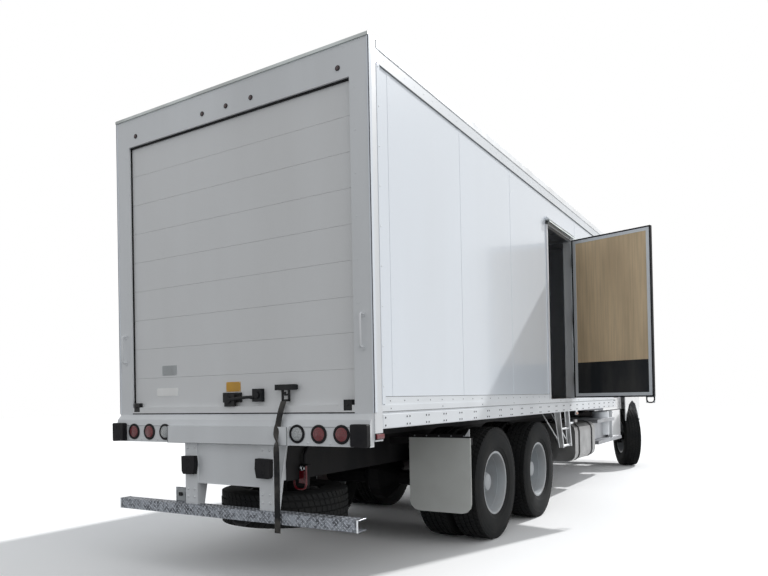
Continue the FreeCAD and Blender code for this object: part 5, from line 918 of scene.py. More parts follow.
def sill_details():
    """Ledge strip over the lamps and the centre plate's weld bead and edge lip, dark grey as painted
    shadow; bolts.
    """
    strip, bolts = Form(), Form()
    strip.box((-SILL_X, SILL_X), (SILL_Y - 0.0025, SILL_Y + 0.0015), (1.150, 1.1525))
    strip.box((-CENTRE_PLATE_X, CENTRE_PLATE_X), (CENTRE_PLATE_Y - 0.002, CENTRE_PLATE_Y + 0.001),
              (1.0205, 1.0235))
    for side in (1, -1):
        edge = side * (CENTRE_PLATE_X + 0.0015)
        strip.rod((edge, CENTRE_PLATE_Y, 1.022), (edge, CENTRE_PLATE_Y, 1.150), 0.003, 8)
        for x in SILL_BOLT_X:
            bolts.dome((side * x, SILL_Y, 1.040), (0, -1, 0), 0.009, 0.006, 6)
    # Painted shadow: the dark grey strip, bead and lip stand for shade under the ledge and along the centre
    # plate.
    piece(strip, "sill_shadow_lines_and_weld", "shadow_grey")
    piece(bolts, "sill_bolts", "frame_white")


def hanger_details():
    """A gusset beside the right post, weld beads, bolts and the blank plate with its lamp."""
    gussets, bolts, mark = Form(), Form(), Form()
    gussets.profiled(1, [(0.444, 1.019), (0.548, 1.019), (0.500, 0.78), (0.470, 0.56), (0.444, 0.50)],
                     (-0.024, -0.016))
    for side in (1, -1):
        for z in POST_BOLT_Z:
            for x in span(POST_X, POST_BOLT_SHIFT):
                bolts.dome((side * x, SILL_Y, z), (0, -1, 0), 0.011, 0.008, 6)
        seam = side * (PANEL_X + 0.0005)
        gussets.rod((seam, -0.040, 0.718), (seam, -0.040, 1.016), 0.003, 8)
    gussets.rod((-PANEL_X, -0.0385, 1.0175), (PANEL_X, -0.0385, 1.0175), 0.0035, 8)
    gussets.box((-PANEL_X, PANEL_X), (-0.043, -0.028), (0.709, 0.716))
    piece(gussets, "hanger_gussets", "frame_white", crisp=30)
    piece(bolts, "hanger_bolts", "frame_white")
    mark.box((-0.610, -0.520), (0.0125, 0.0150), (0.548, 0.650))
    piece(mark, "blank_plate_on_bracket", "plate_grey", bevel=0.001)
    hood = Form()
    hood.box((-0.583, -0.547), (0.000, 0.0145), (0.588, 0.616))
    piece(hood, "bracket_plate_lamp", "black_steel", bevel=0.003)


LUG_LENGTH = 0.025
LUG_WIDTH = 0.0084
LUG_HEIGHT = 0.0022
LUG_TOP_SHARE = 0.55
LUG_PITCH = 0.034
LUG_ROWS = 5
LUGGED_X = 1.165
TAIL_STEP_Y = (-0.090, 0.015)
TAIL_STEP_Z = (0.464, 0.544)


def tread_lug(form, centre, out, lean):
    """A lozenge that stands on the tread plate, leaning from the truck's width by an angle."""
    across = out.cross(Vector((1, 0, 0)))
    long = (Vector((1, 0, 0)) * math.cos(lean) + across * math.sin(lean)) * LUG_LENGTH / 2
    short = (across * math.cos(lean) - Vector((1, 0, 0)) * math.sin(lean)) * LUG_WIDTH / 2
    ways = (long, short, -long, -short)
    base = [centre + way for way in ways]
    top = [centre + way * LUG_TOP_SHARE + out * LUG_HEIGHT for way in ways]
    form.add(base + top, [(4, 5, 6, 7), (0, 1, 5, 4), (1, 2, 6, 5), (2, 3, 7, 6), (3, 0, 4, 7)])


def step_bumper():
    """Tread-plate lugs pressed in the bumper's top and rear face, lying two ways in turn."""
    lugs = Form()
    (rear, front), (low_z, high_z) = TAIL_STEP_Y, TAIL_STEP_Z
    for column in range(int(2 * LUGGED_X / LUG_PITCH)):
        for row in range(LUG_ROWS):
            x = -LUGGED_X + LUG_PITCH * (column + (1 if row % 2 else 0.5))
            lean = math.radians(45 if (column + row) % 2 else -45)
            if abs(x) < LUGGED_X + 0.005:
                tread_lug(lugs, Vector((x, rear, low_z + 0.008 + 0.016 * row)), Vector((0, -1, 0)), lean)
                tread_lug(lugs, Vector((x, rear + 0.012 + 0.019 * row, high_z)), Vector((0, 0, 1)), lean)
    piece(lugs, "bumper_tread_lugs", "lug_aluminium", smooth=False)
    ends, hook = Form(), Form()
    for _, x in both((1.172, 1.184)):
        ends.box(x, (rear - 0.003, rear + 0.001), (low_z - 0.002, high_z + 0.002))
        ends.box(x, (rear - 0.003, front), (high_z - 0.001, high_z + 0.003))
    piece(ends, "bumper_end_lips", "bright_aluminium", bevel=0.001)
    bend = ((0.045, 0.463), (0.045, 0.440), (0.075, 0.424), (0.145, 0.424), (0.175, 0.440), (0.175, 0.463))
    hook.pipe([(x, -0.03, z) for x, z in bend], 0.013, 12)
    piece(hook, "tow_eye", "black_steel")


LATCH_BOLT_X = 0.074
LATCH_BOLT_Z = (1.342, 1.392)
DOOR_STOP_X = (1.030, 1.098)
GRAB_BAR_X = 1.195
GRAB_BAR_Z = (1.683, 1.905)
GRAB_BAR_REACH = 0.040
GRAB_BAR_BEND = 0.010


def latch_and_handle():
    """The door's lever latch, its pull handle, stops and grab bars."""
    black, bright, bars = Form(), Form(), Form()
    black.boxes(((-0.090, 0.090), (0.008, 0.030), (1.330, 1.405)),
                ((-0.052, 0.050), (-0.018, 0.008), (1.299, 1.392)),
                ((0.220, 0.310), (-0.008, 0.030), (1.332, 1.428)),
                ((0.205, 0.228), (-0.016, 0.004), (1.352, 1.378)))
    lever = [(0.000, -0.020, 1.352), (0.085, -0.018, 1.360), (0.165, -0.014, 1.366), (0.245, -0.012, 1.368)]
    black.pipe(lever, 0.012, 10)
    black.rod((-0.012, -0.028, 1.350), (-0.012, -0.010, 1.350), 0.030, 20)
    black.rod((0.265, -0.020, 1.382), (0.265, 0.0, 1.382), 0.026, 20)
    black.boxes(((0.440, 0.630), (-0.013, 0.004), (1.412, 1.453)),
                ((0.448, 0.478), (0.002, 0.030), (1.416, 1.450)),
                ((0.592, 0.622), (0.002, 0.030), (1.416, 1.450)))
    black.boxes(((0.499, 0.513), (-0.010, 0.005), (1.332, 1.413)),
                ((0.557, 0.571), (-0.010, 0.005), (1.332, 1.413)),
                ((0.499, 0.571), (-0.010, 0.005), (1.330, 1.346)),
                ((0.499, 0.571), (-0.006, 0.003), (1.372, 1.384)))
    for side, x in both(DOOR_STOP_X):
        black.box(x, (-0.004, 0.030), (1.262, 1.336))
        black.dome((side * sum(DOOR_STOP_X) / 2, -0.004, 1.300), (0, -1, 0), 0.010, 0.006, 6)
    for x in (0.470, 0.600):
        black.rod((x, -0.016, 1.432), (x, -0.012, 1.432), 0.0085, 12)
    for x in (-LATCH_BOLT_X, LATCH_BOLT_X):
        for z in LATCH_BOLT_Z:
            black.dome((x, 0.008, z), (0, -1, 0), 0.008, 0.005, 6)
    bright.box((-0.036, -0.020), (-0.0205, -0.017), (1.350, 1.388))
    bright.box((0.612, 0.624), (-0.0145, -0.012), (1.424, 1.442))
    bright.rod((0.535, -0.0125, 1.392), (0.535, -0.009, 1.392), 0.010, 12)
    made = piece(black, "door_latch_and_handle", "black_steel", replaces=("door_fittings",))
    soften(made, 0.002)
    piece(bright, "fitting_bolts", "black_steel")
    low, high = GRAB_BAR_Z
    far, near = -GRAB_BAR_REACH, GRAB_BAR_BEND - GRAB_BAR_REACH
    for x in (GRAB_BAR_X, -GRAB_BAR_X):
        bend = ((0.001, low), (near, low), (far, low + GRAB_BAR_BEND), (far, high - GRAB_BAR_BEND),
                (near, high), (0.001, high))
        bars.pipe([(x, y, z) for y, z in bend], 0.009, 12)
        for z in GRAB_BAR_Z:
            bars.rod((x, 0.0005, z), (x, -0.005, z), 0.022, 20)
    piece(bars, "post_grab_bars", "frame_white")


PLATE_EDGE = 0.008
PLATE_RIVET_INSET = 0.006


def blank_plates():
    """Plates on the door with nothing on them, each with a folded edge and its rivets."""
    sizes = (("yellow_blank_plate", "yellow_plate", (-0.070, 0.076), (1.412, 1.486)),
             ("white_blank_plate", "plate_white", (-0.850, -0.600), (1.392, 1.456)),
             ("grey_blank_plate", "plate_grey", (-0.780, -0.612), (1.560, 1.640)))
    rivets = Form()
    for name, finish, x, z in sizes:
        plate = Form()
        plate.box(x, (0.0275, 0.0298), z)
        plate.box((x[0] + PLATE_EDGE, x[1] - PLATE_EDGE), (0.0268, 0.0278),
                  (z[0] + PLATE_EDGE, z[1] - PLATE_EDGE))
        piece(plate, name, finish, bevel=0.0007)
        for a in (x[0] + PLATE_RIVET_INSET, x[1] - PLATE_RIVET_INSET):
            for b in (z[0] + PLATE_RIVET_INSET, z[1] - PLATE_RIVET_INSET):
                rivets.dome((a, 0.0275, b), (0, -1, 0), 0.0032, 0.002, 8)
    piece(rivets, "plate_rivets", "ladder_steel")


# The strap hangs down from the buckle, over the sill's edge and in front of the hanger
STRAP_X = 0.520
STRAP_ROUTE = ((-0.009, 1.333), (-0.104, 1.170), (-0.099, 0.785), (-0.103, 0.405))
STRAP_WIDTH = 0.050
STRAP_THICKNESS = 0.003
STRAP_TWIST = (0.22, 0.50)
STRAP_STATIONS = 64
STRAP_FOLD = 4
STRAP_SECTION = ((-1, -1), (-0.5, -1.25), (0, -1), (0.5, -1.25), (1, -1), (1, 1), (0.5, 1.25), (0, 1),
                 (-0.5, 1.25), (-1, 1))


def route_line(name, points):
    """A NURBS line through a route, and the points that it passes."""
    curve = bpy.data.curves.new(name, "CURVE")
    curve.dimensions = "3D"
    curve.resolution_u = STRAP_STATIONS // 2
    line = curve.splines.new("NURBS")
    line.points.add(len(points) - 1)
    for spot, point in zip(line.points, points):
        spot.co = (*point, 1)
    line.order_u = 3
    line.use_endpoint_u = True
    holder = bpy.data.objects.new(name, curve)
    bpy.context.scene.collection.objects.link(holder)
    sampled = bpy.data.meshes.new_from_object(holder)
    spots = [vertex.co.copy() for vertex in sampled.vertices]
    bpy.data.objects.remove(holder)
    return spots


def strap():
    """A flat strap that turns half over between its two flat stretches."""
    route = [TRUCK + Vector((STRAP_X, y, z)) for y, z in STRAP_ROUTE]
    path = route_line("strap_route", route)
    form = Form(Matrix.Identity(4))
    rings = []
    for index, spot in enumerate(path):
        share = index / (len(path) - 1)
        ahead = (path[min(index + 1, len(path) - 1)] - path[max(index - 1, 0)]).normalized()
        level = max(0.0, min(1.0, (share - STRAP_TWIST[0]) / (STRAP_TWIST[1] - STRAP_TWIST[0])))
        turn = math.pi * (3 * level ** 2 - 2 * level ** 3)
        across = Vector((1, 0, 0))
        out = across.cross(ahead)
        wide = across * math.cos(turn) + out * math.sin(turn)
        deep = out * math.cos(turn) - across * math.sin(turn)
        thick = STRAP_THICKNESS * (1 + STRAP_FOLD * math.sin(turn))
        rings.append([spot + wide * a * STRAP_WIDTH / 2 + deep * b * thick / 2 for a, b in STRAP_SECTION])
    form.rings(rings)
    made = piece(form, "pull_strap_webbing", "strap_webbing", replaces=("pull_strap",))


def spare_wheel():
    """A spare wheel slung flat under the rear overhang, on a crossbar with a drop bolt."""
    centre = TRUCK + Vector((0, SPARE_Y, SPARE_Z))
    place = Matrix.Translation(centre) @ Matrix.Rotation(math.radians(90), 4, "Y")
    tyre, rim, carrier = Form(place), Form(place), Form()
    tyre_rings(tyre, 0)
    tread_blocks(tyre, 0)
    inside = [(-0.100, 0.270), (0.030, 0.256), (0.050, DISH_OUTER)]
    rim.turned(rim_lip(True, 0) + rim_lip(False, 0)[::-1] + inside, (0, 0, 0), "X", WHEEL_SIDES)
    rim.turned([(0.050, DISH_OUTER), (0.064, 0.205), (0.064, 0.110)], (0, 0, 0), "X", WHEEL_SIDES)
    carrier.box((-0.300, 0.300), span(SPARE_Y, 0.030), (SPARE_Z - 0.085, SPARE_Z - 0.065))
    carrier.rod((0, SPARE_Y, SPARE_Z - 0.110), (0, SPARE_Y, 0.800), 0.012, 12)
    carrier.rod((0, SPARE_Y, SPARE_Z - 0.100), (0, SPARE_Y, SPARE_Z - 0.085), 0.026, 6)
    carrier.box((-0.420, 0.420), span(SPARE_Y, 0.040), (0.770, 0.800))
    piece(tyre, "spare_tyre", "tyre", crisp=30)
    piece(rim, "spare_wheel_disc", "chassis_black", crisp=40)
    piece(carrier, "spare_carrier", "chassis_black", bevel=0.002)


overhead_door()
frame_trim()
rear_rubbers(rear_lamps())
sill_details()
hanger_details()
step_bumper()
latch_and_handle()
blank_plates()
spare_wheel()
strap()


# Sides of the box

BOX_LENGTH = reach("cargo_front_wall", "y")
WALL_X = reach("cargo_right_wall", "x")
WALL_Y = (0.140, BOX_LENGTH - 0.02)
RAIL_Y = (0.104, BOX_LENGTH - 0.01)
SEAM_Y = row(0.280, 1.220, 6)
SEAM_Z = (1.352, 3.603)
SEAM_RIVET_Z = row(1.43, 0.15, 15)
BAND_FACE = WALL_X + 0.005
BAND_Z = (1.2935, 1.350)
PLATE_FACE = SKIN_X + 0.0015
PLATE_Z = (1.141, 1.232)
BAND_RIVET_Y = row(0.216, 0.205, 35)
RAIL_BOLT_Y = row(0.155, 0.305, 24)
RAIL_BOLT_Z = (1.210, 1.157)
UPPER_JOINT_Z = (3.694, 3.603)
UPPER_RIVET_Y = row(0.20, 0.152, 47)
ROOF_LAP_Y = row(0.30, 0.61, 12)
ROOF_RIVET_X = row(-1.14, 0.152, 16)
ROOF_SKIN_Z = 3.7662
NOSE_STRIP_X = (-0.62, 0.0, 0.62)
NOSE_LAMP_X = (-1.05, -0.25, 0.0, 0.25, 1.05)
DOORWAY_Y = (3.890, 4.985)
DOORWAY_CLEARANCE = 0.02
SIDE_DOOR_FRONT = 4.940
SIDE_HINGE_X = 1.305
SIDE_OPEN = math.radians(76)
LEAF_Z = (1.303, 3.291)
LEAF_Y = (-1.001, -0.009)
LEAF_X = (-0.070, -0.030)
SIDE_HINGE_Z = (1.544, 2.327, 3.050)
KICK_TOP = 1.740


def clear_of_doorway(side, y):
    """Whether a spot along the wall is clear of the doorway, which is on the right only."""
    return side < 0 or not DOORWAY_Y[0] - DOORWAY_CLEARANCE < y < DOORWAY_Y[1] + DOORWAY_CLEARANCE


def stretches(side):
    """The lengths of wall on one side: whole on the left, parted by the doorway on the right."""
    if side < 0:
        return [WALL_Y]
    return [(WALL_Y[0], DOORWAY_Y[0]), (DOORWAY_Y[1], WALL_Y[1])]


def wall_seams():
    """Narrow cover strips where the wall's panels meet, each with its rivets."""
    strips, rivets = Form(), Form()
    for side in (1, -1):
        for y in SEAM_Y:
            if not clear_of_doorway(side, y):
                continue
            strips.box(mirrored(side, WALL_X - 0.001, WALL_X + 0.0014), span(y, 0.022), SEAM_Z)
            for z in SEAM_RIVET_Z:
                for rivet_y in span(y, 0.013):
                    rivets.dome((side * (WALL_X + 0.0014), rivet_y, z), (side, 0, 0), 0.0032, 0.0012, 6)
    piece(strips, "wall_seam_strips", "box_white", bevel=0.0007)
    piece(rivets, "wall_seam_rivets", "box_white")


def lower_rail():
    """Foot band on the wall, the bolted rail plate below it, their rivets and bolts, and painted shadow
    lines at the joints.
    """
    bands, plates, heads, lines = Form(), Form(), Form(), Form()
    for side in (1, -1):
        out = (side, 0, 0)
        for y in stretches(side):
            bands.box(mirrored(side, WALL_X - 0.001, BAND_FACE), y, BAND_Z)
            # Painted shadow: dark grey strips where the band and the rail plate meet the wall.
            lines.box(mirrored(side, WALL_X, BAND_FACE + 0.0008), y, (1.3495, 1.3535))
        lines.box(mirrored(side, SKIN_X - 0.004, SKIN_X + 0.0006), RAIL_Y, (1.2475, 1.2515))
        plates.box(mirrored(side, SKIN_X - 0.012, PLATE_FACE), RAIL_Y, PLATE_Z)
        lines.box(mirrored(side, SKIN_X - 0.012, SKIN_X - 0.006), RAIL_Y, (1.230, 1.247))
        for index, y in enumerate(BAND_RIVET_Y):
            if clear_of_doorway(side, y):
                heads.dome((side * BAND_FACE, y, 1.322), out, 0.0052, 0.003, 8)
            if index % 4 == 0:
                heads.dome((side * SKIN_X, y, 1.270), out, 0.0055, 0.003, 8)
        for index, y in enumerate(RAIL_BOLT_Y):
            for shift in ((-0.020,) if index == 0 else (-0.020, 0.022)):
                for z in RAIL_BOLT_Z:
                    heads.dome((side * PLATE_FACE, y + shift, z), out, 0.0085, 0.005, 6)
    piece(bands, "wall_foot_bands", "rail_aluminium", bevel=0.0012)
    piece(plates, "lower_rail_plates", "rail_aluminium", bevel=0.0012)
    piece(heads, "lower_rail_bolts_and_rivets", "bolt_grey")
    piece(lines, "lower_rail_joint_shadows", "shadow_grey")


def upper_rail():
    """The polished cap angle along the roof's edge, painted shadow lines at the joints below it, and
    rivets.
    """
    cap, lines, rivets = Form(), Form(), Form()
    for side in (1, -1):
        outline = ((-0.001, 3.701), (0.004, 3.701), (0.004, 3.760), (-0.004, 3.768), (-0.060, 3.768),
                   (-0.060, 3.7645), (-0.001, 3.7645))
        cap.profiled(side, outline, (0.103, BOX_LENGTH), SKIN_X)
        for z in UPPER_JOINT_Z:
            # Painted shadow: dark grey lines under the proud rail joints.
            lines.box(mirrored(side, WALL_X - 0.001, SKIN_X + 0.0008), WALL_Y, (z - 0.002, z + 0.0025))
        for y in UPPER_RIVET_Y:
            rivets.dome((side * SKIN_X, y, 3.648), (side, 0, 0), 0.0042, 0.002, 6)
    piece(cap, "roof_edge_caps", "bright_aluminium", bevel=0.0012)
    piece(lines, "upper_rail_joint_shadows", "shadow_grey")
    piece(rivets, "upper_rail_rivets", "rail_aluminium")


def roof_and_nose():
    """Roof sheet laps with rivets, and the strips and marker lamps of the front wall."""
    laps, rivets, amber, base = Form(), Form(), Form(), Form()
    for y in ROOF_LAP_Y:
        laps.box((-1.210, 1.210), span(y, 0.016), (ROOF_SKIN_Z - 0.0027, ROOF_SKIN_Z))
        for x in ROOF_RIVET_X:
            rivets.dome((x, y, ROOF_SKIN_Z), (0, 0, 1), 0.005, 0.0022, 6)
    front = BOX_LENGTH
    for x in NOSE_STRIP_X:
        laps.box(span(x, 0.022), (front - 0.001, front + 0.0016), (1.36, 3.59))
        for z in SEAM_RIVET_Z:
            rivets.dome((x, front + 0.0016, z), (0, 1, 0), 0.004, 0.0018, 6)
    for x in NOSE_LAMP_X:
        base.box(span(x, 0.034), (front - 0.001, front + 0.004), (3.664, 3.702))
        amber.box(span(x, 0.030), (front + 0.003, front + 0.0095), (3.668, 3.698))
    piece(laps, "roof_and_nose_laps", "box_white", bevel=0.0008)
    piece(rivets, "roof_and_nose_rivets", "box_white")
    piece(amber, "nose_marker_lenses", "amber_lens", bevel=0.002)
    piece(base, "nose_marker_bases", "black_rubber", bevel=0.001)


SILL_GRIP_Y = row(DOORWAY_Y[0] + 0.05, 0.041, 24)
HANDLE_Y = 4.005
HANDLE_FACE_X = 1.190
HANDLE_Z = (1.790, 2.010)


def doorway():
    """White jamb posts, the drip hood, the sill plate, a seal and the grab handle inside."""
    jamb, shade, seal, handle, floor = Form(), Form(), Form(), Form(), Form()
    low, high = DOORWAY_Y
    jamb.box((WALL_X, SKIN_X + 0.006), (high - 0.045, high + 0.030), (1.296, 3.300))
    jamb.box((SKIN_X - 0.004, SKIN_X + 0.018), (high + 0.012, high + 0.028), (1.300, 3.292))
    jamb.box((WALL_X, SKIN_X + 0.004), (low - 0.010, low + 0.036), (1.296, 3.345))
    jamb.box((WALL_X, SKIN_X + 0.004), (low - 0.010, high + 0.030), (3.300, 3.345))
    outline = ((-0.006, 3.350), (0.040, 3.338), (0.044, 3.318), (0.040, 3.318), (0.037, 3.334),
               (-0.006, 3.344))
    shade.profiled(1, outline, (low - 0.020, high + 0.035), SKIN_X)
    seal.box((SKIN_X - 0.055, SKIN_X - 0.012), (low + 0.034, low + 0.040), (1.297, 3.300))
    jamb.box((SKIN_X - 0.105, SKIN_X - 0.006), (high - 0.0505, high - 0.0445), (1.300, 3.296))
    floor.box((SKIN_X - 0.090, SKIN_X - 0.006), (low + 0.02, high - 0.02), (1.2935, 1.2965))
    for y in SILL_GRIP_Y:
        floor.box((SKIN_X - 0.085, SKIN_X - 0.012), (y, y + 0.014), (1.296, 1.2978))
    foot, top = HANDLE_Z
    near, far = HANDLE_FACE_X - 0.040, HANDLE_FACE_X - 0.050
    bend = ((HANDLE_FACE_X, top), (near, top), (far, top - 0.010), (far, foot + 0.010), (near, foot),
            (HANDLE_FACE_X, foot))
    handle.pipe([(x, HANDLE_Y, z) for x, z in bend], 0.011, 12)
    for z in HANDLE_Z:
        handle.box((1.186, 1.232), span(HANDLE_Y, 0.020), span(z, 0.028))
    piece(jamb, "doorway_jambs", "frame_white", bevel=0.0015)
    piece(shade, "doorway_drip_hood", "cap_grey", crisp=30)
    piece(seal, "doorway_seals", "black_rubber")
    piece(floor, "doorway_sill_plate", "tread_aluminium")
    piece(handle, "doorway_grab_handle", "frame_white")


HINGE_LINE = Vector((SIDE_HINGE_X, SIDE_DOOR_FRONT, 0))
LEAF_PLACE = Matrix.Translation(TRUCK + HINGE_LINE) @ Matrix.Rotation(SIDE_OPEN, 4, "Z")
HINGE_HALF = 0.062
HINGE_BARREL = 0.0185
HINGE_BARRELS = ((-0.088, -0.032), (-0.028, 0.028), (0.032, 0.088))
HINGE_BOLT_LIFT = 0.04
GASKET = 0.013
GASKET_WRAP = 0.0025
STRIP = (0.014, 0.052)
RING_X = -0.021
RING_OUTLINE = ((-0.986, 1.304), (-0.986, 1.262), (-0.974, 1.240), (-0.955, 1.233), (-0.926, 1.233),
                (-0.908, 1.240), (-0.896, 1.262), (-0.896, 1.304))
LOCK_Y = -0.930
LOCK_GUIDES_Z = (1.42, 1.90, 2.30, 2.75, 3.18)


def side_leaf():
    """Gasket, inner frame, kick panel, hinges, hook and lock bar of the open side door."""
    gasket, strips, kick, hinges, wire, lock = [Form(LEAF_PLACE) for _ in range(6)]
    (y0, y1), (z0, z1), (x0, x1) = LEAF_Y, LEAF_Z, LEAF_X
    wrap, (near, far) = GASKET_WRAP, STRIP
    outer = (x0 - 0.006, x0 + 0.001)
    edge = (x0, x1 - 0.003)
    for y in ((y0 - wrap, y0 + GASKET), (y1 - GASKET, y1 + wrap)):
        gasket.box(outer, y, (z0 - wrap, z1 + wrap))
    for z in ((z0 - wrap, z0 + GASKET), (z1 - GASKET, z1 + wrap)):
        gasket.box(outer, (y0 + 0.012, y1 - 0.012), z)
    for y in ((y0 - wrap, y0 + 0.0005), (y1 - 0.0005, y1 + wrap)):
        gasket.box(edge, y, LEAF_Z)
    for z in ((z0 - wrap, z0 + 0.0005), (z1 - 0.0005, z1 + wrap)):
        gasket.box(edge, LEAF_Y, z)
    for y in ((y0 + near, y0 + far), (y1 - far, y1 - near)):
        strips.box((x0 - 0.003, x0 + 0.001), y, (z0 + near, z1 - near))
    for z in ((z0 + near, z0 + far), (z1 - far, z1 - near)):
        strips.box((x0 - 0.003, x0 + 0.001), (y0 + far, y1 - far), z)
    kick.box((x0 - 0.0022, x0 + 0.001), (y0 + far, y1 - far), (z0 + far, KICK_TOP))
    for y in (y0 + 0.075, (y0 + y1) / 2, y1 - 0.075):
        for z in (z0 + 0.075, KICK_TOP - 0.02):
            kick.dome((x0 - 0.0022, y, z), (-1, 0, 0), 0.006, 0.003, 8)
    for z in SIDE_HINGE_Z:
        for low, high in HINGE_BARRELS:
            hinges.rod((0, 0, z + low), (0, 0, z + high), HINGE_BARREL, 20)
        hinges.box((-0.031, -0.024), (-0.085, -0.004), span(z, HINGE_HALF))
        for y in (-0.065, -0.032):
            for lift in (-HINGE_BOLT_LIFT, HINGE_BOLT_LIFT):
                hinges.dome((-0.024, y, z + lift), (1, 0, 0), 0.007, 0.004, 6)
    wire.pipe([(RING_X, y, z) for y, z in RING_OUTLINE], 0.0082, 10)
    lock.pipe([(-0.016, LOCK_Y, 1.32), (-0.016, LOCK_Y, 3.27)], 0.0135, 12)
    for z in LOCK_GUIDES_Z:
        lock.box((-0.031, -0.014), span(LOCK_Y, 0.030), span(z, 0.020))
    lever = [(-0.012, LOCK_Y, 2.10), (-0.006, LOCK_Y + 0.030, 2.10), (-0.006, -0.660, 2.10),
             (-0.006, -0.630, 2.085)]
    lock.pipe(lever, 0.010, 10)
    lock.box((-0.031, -0.004), (-0.730, -0.690), (2.075, 2.125))
    body = "side_door_leaf"
    piece(gasket, "side_leaf_gasket", "black_rubber", body)
    piece(strips, "side_leaf_frame_strips", "rail_aluminium", body, bevel=0.001)
    piece(kick, "side_leaf_kick_panel", "kick_black", body)
    piece(hinges, "side_leaf_hinges", "black_steel", body)
    piece(wire, "side_leaf_hook_ring", "black_steel", body)
    piece(lock, "side_leaf_lock_bar", "ladder_steel", body)
    plates = Form()
    front = SIDE_DOOR_FRONT
    for z in SIDE_HINGE_Z:
        plates.box((SKIN_X, SKIN_X + 0.010), (front + 0.012, front + 0.080), span(z, HINGE_HALF))
        for y in (0.030, 0.062):
            for lift in (-HINGE_BOLT_LIFT, HINGE_BOLT_LIFT):
                plates.dome((SKIN_X + 0.010, front + y, z + lift), (1, 0, 0), 0.007, 0.004, 6)
    piece(plates, "side_hinge_plates", "black_steel", bevel=0.001)


LADDER_TOP = 1.137
LADDER_FOOT = 0.700
STRINGER_HALF = 0.004
STRINGERS = (((1.190, 1.255), 4.330, (1.212, 1.262), 4.440), ((1.212, 1.262), 4.690, (1.216, 1.268), 4.770))
BRACE_Y = (4.400, 4.760)


def side_ladder():
    """Two flat stringers that lean outwards, two rungs and braces from the floor's sills."""
    form, rungs, braces = Form(), Form(), Form()
    for top_x, top_y, foot_x, foot_y in STRINGERS:
        ends = []
        for (a, b), y, z in ((foot_x, foot_y, LADDER_FOOT), (top_x, top_y, LADDER_TOP)):
            ends.append([(a, y - STRINGER_HALF, z), (b, y - STRINGER_HALF, z), (b, y + STRINGER_HALF, z),
                         (a, y + STRINGER_HALF, z)])
        form.rings(ends)
        for top, foot in zip(top_x, foot_x):
            form.rod((foot, foot_y, LADDER_FOOT), (top, top_y, LADDER_TOP), 0.0085, 8)
    rungs.rod((1.240, 4.440, 0.716), (1.242, 4.770, 0.716), 0.0145, 12)
    rungs.rod((1.232, 4.390, 0.925), (1.240, 4.735, 0.925), 0.0125, 12)
    for y, foot_y in zip(BRACE_Y, (4.440, 4.770)):
        braces.rod((1.010, y, 1.130), (1.240, foot_y, 0.712), 0.0085, 10)
        braces.box((0.985, 1.035), span(y, 0.025), (LADDER_TOP - 0.009, LADDER_TOP))
    piece(form, "ladder_stringers", "ladder_steel", bevel=0.001, replaces=("side_ladder",))
    piece(rungs, "ladder_rungs", "ladder_steel")
    piece(braces, "ladder_braces", "ladder_steel")


wall_seams()
lower_rail()
upper_rail()
roof_and_nose()
doorway()
side_leaf()
side_ladder()


# Cab and hood

CAB_ROOF_Z = reach("cab_shell", "z")
CAB_FRONT_Y = reach("cab_shell", "y")
BUMPER_FACE_Y = reach("front_bumper", "y")
HOOD_NOSE_Y = 10.330
GRILLE_X = reach("grille", "x")
GRILLE_Z = (reach("grille", "z", 0), reach("grille", "z"))
GRILLE_EDGE = 0.022
CAB_MARKER_X = (-0.62, -0.30, 0.0, 0.30, 0.62)
MARKER_Y = CAB_FRONT_Y - 0.280
TOW_HOOK_X = 0.40
FOG_LAMP_X = 0.74
SKIRT_Y = (8.130, 8.780)
SKIRT_Z = (0.575, 1.065)
SKIRT_FACE = 1.056
CANISTER = (0.905, 7.960)
CANISTER_RADIUS = 0.135
GRIP_BAR_X = (1.020, 1.096)
GRIP_BAR_Y = row(6.960, 0.045, 24)


def cab_front():
    """Roof marker lamps, the grille's surround, the bumper's blank plate, fog lamps and tow hooks."""
    lamps, bases, bright, plate, hooks, lenses = [Form() for _ in range(6)]
    for x in CAB_MARKER_X:
        bases.box(span(x, 0.048), span(MARKER_Y, 0.050), (CAB_ROOF_Z - 0.012, CAB_ROOF_Z + 0.006))
        lamps.dome((x, MARKER_Y, CAB_ROOF_Z + 0.004), (0, 0, 1), 0.036, 0.030, 16)
    low, high = GRILLE_Z
    y = span(HOOD_NOSE_Y, 0.012)
    for _, x in both((GRILLE_X, GRILLE_X + GRILLE_EDGE)):
        bright.box(x, y, (low - GRILLE_EDGE, high + GRILLE_EDGE))
    for z in ((low - GRILLE_EDGE, low), (high, high + GRILLE_EDGE)):
        bright.box((-GRILLE_X, GRILLE_X), y, z)
    plate.box((-0.155, 0.155), (BUMPER_FACE_Y - 0.002, BUMPER_FACE_Y + 0.003), (0.500, 0.625))
    bend = ((-0.03, 0.475), (0.030, 0.475), (0.052, 0.500), (0.030, 0.525), (-0.01, 0.525))
    for side in (1, -1):
        hooks.pipe([(side * TOW_HOOK_X, BUMPER_FACE_Y + y, z) for y, z in bend], 0.013, 10)
        lenses.turned([(0.0, 0.062), (0.012, 0.062), (0.016, 0.052), (0.020, 0.0)],
                      (side * FOG_LAMP_X, BUMPER_FACE_Y - 0.004, 0.560), "Y", 24)
    piece(lamps, "cab_marker_lenses", "amber_lens", crisp=60)
    piece(bases, "cab_marker_bases", "black_rubber", bevel=0.003)
    piece(bright, "grille_surround", "bumper_chrome", "hood_body", bevel=0.003)
    piece(plate, "front_blank_plate", "plate_white", bevel=0.001)
    piece(hooks, "front_tow_hooks", "black_steel")
    piece(lenses, "fog_lamp_lenses", "clear_lens")


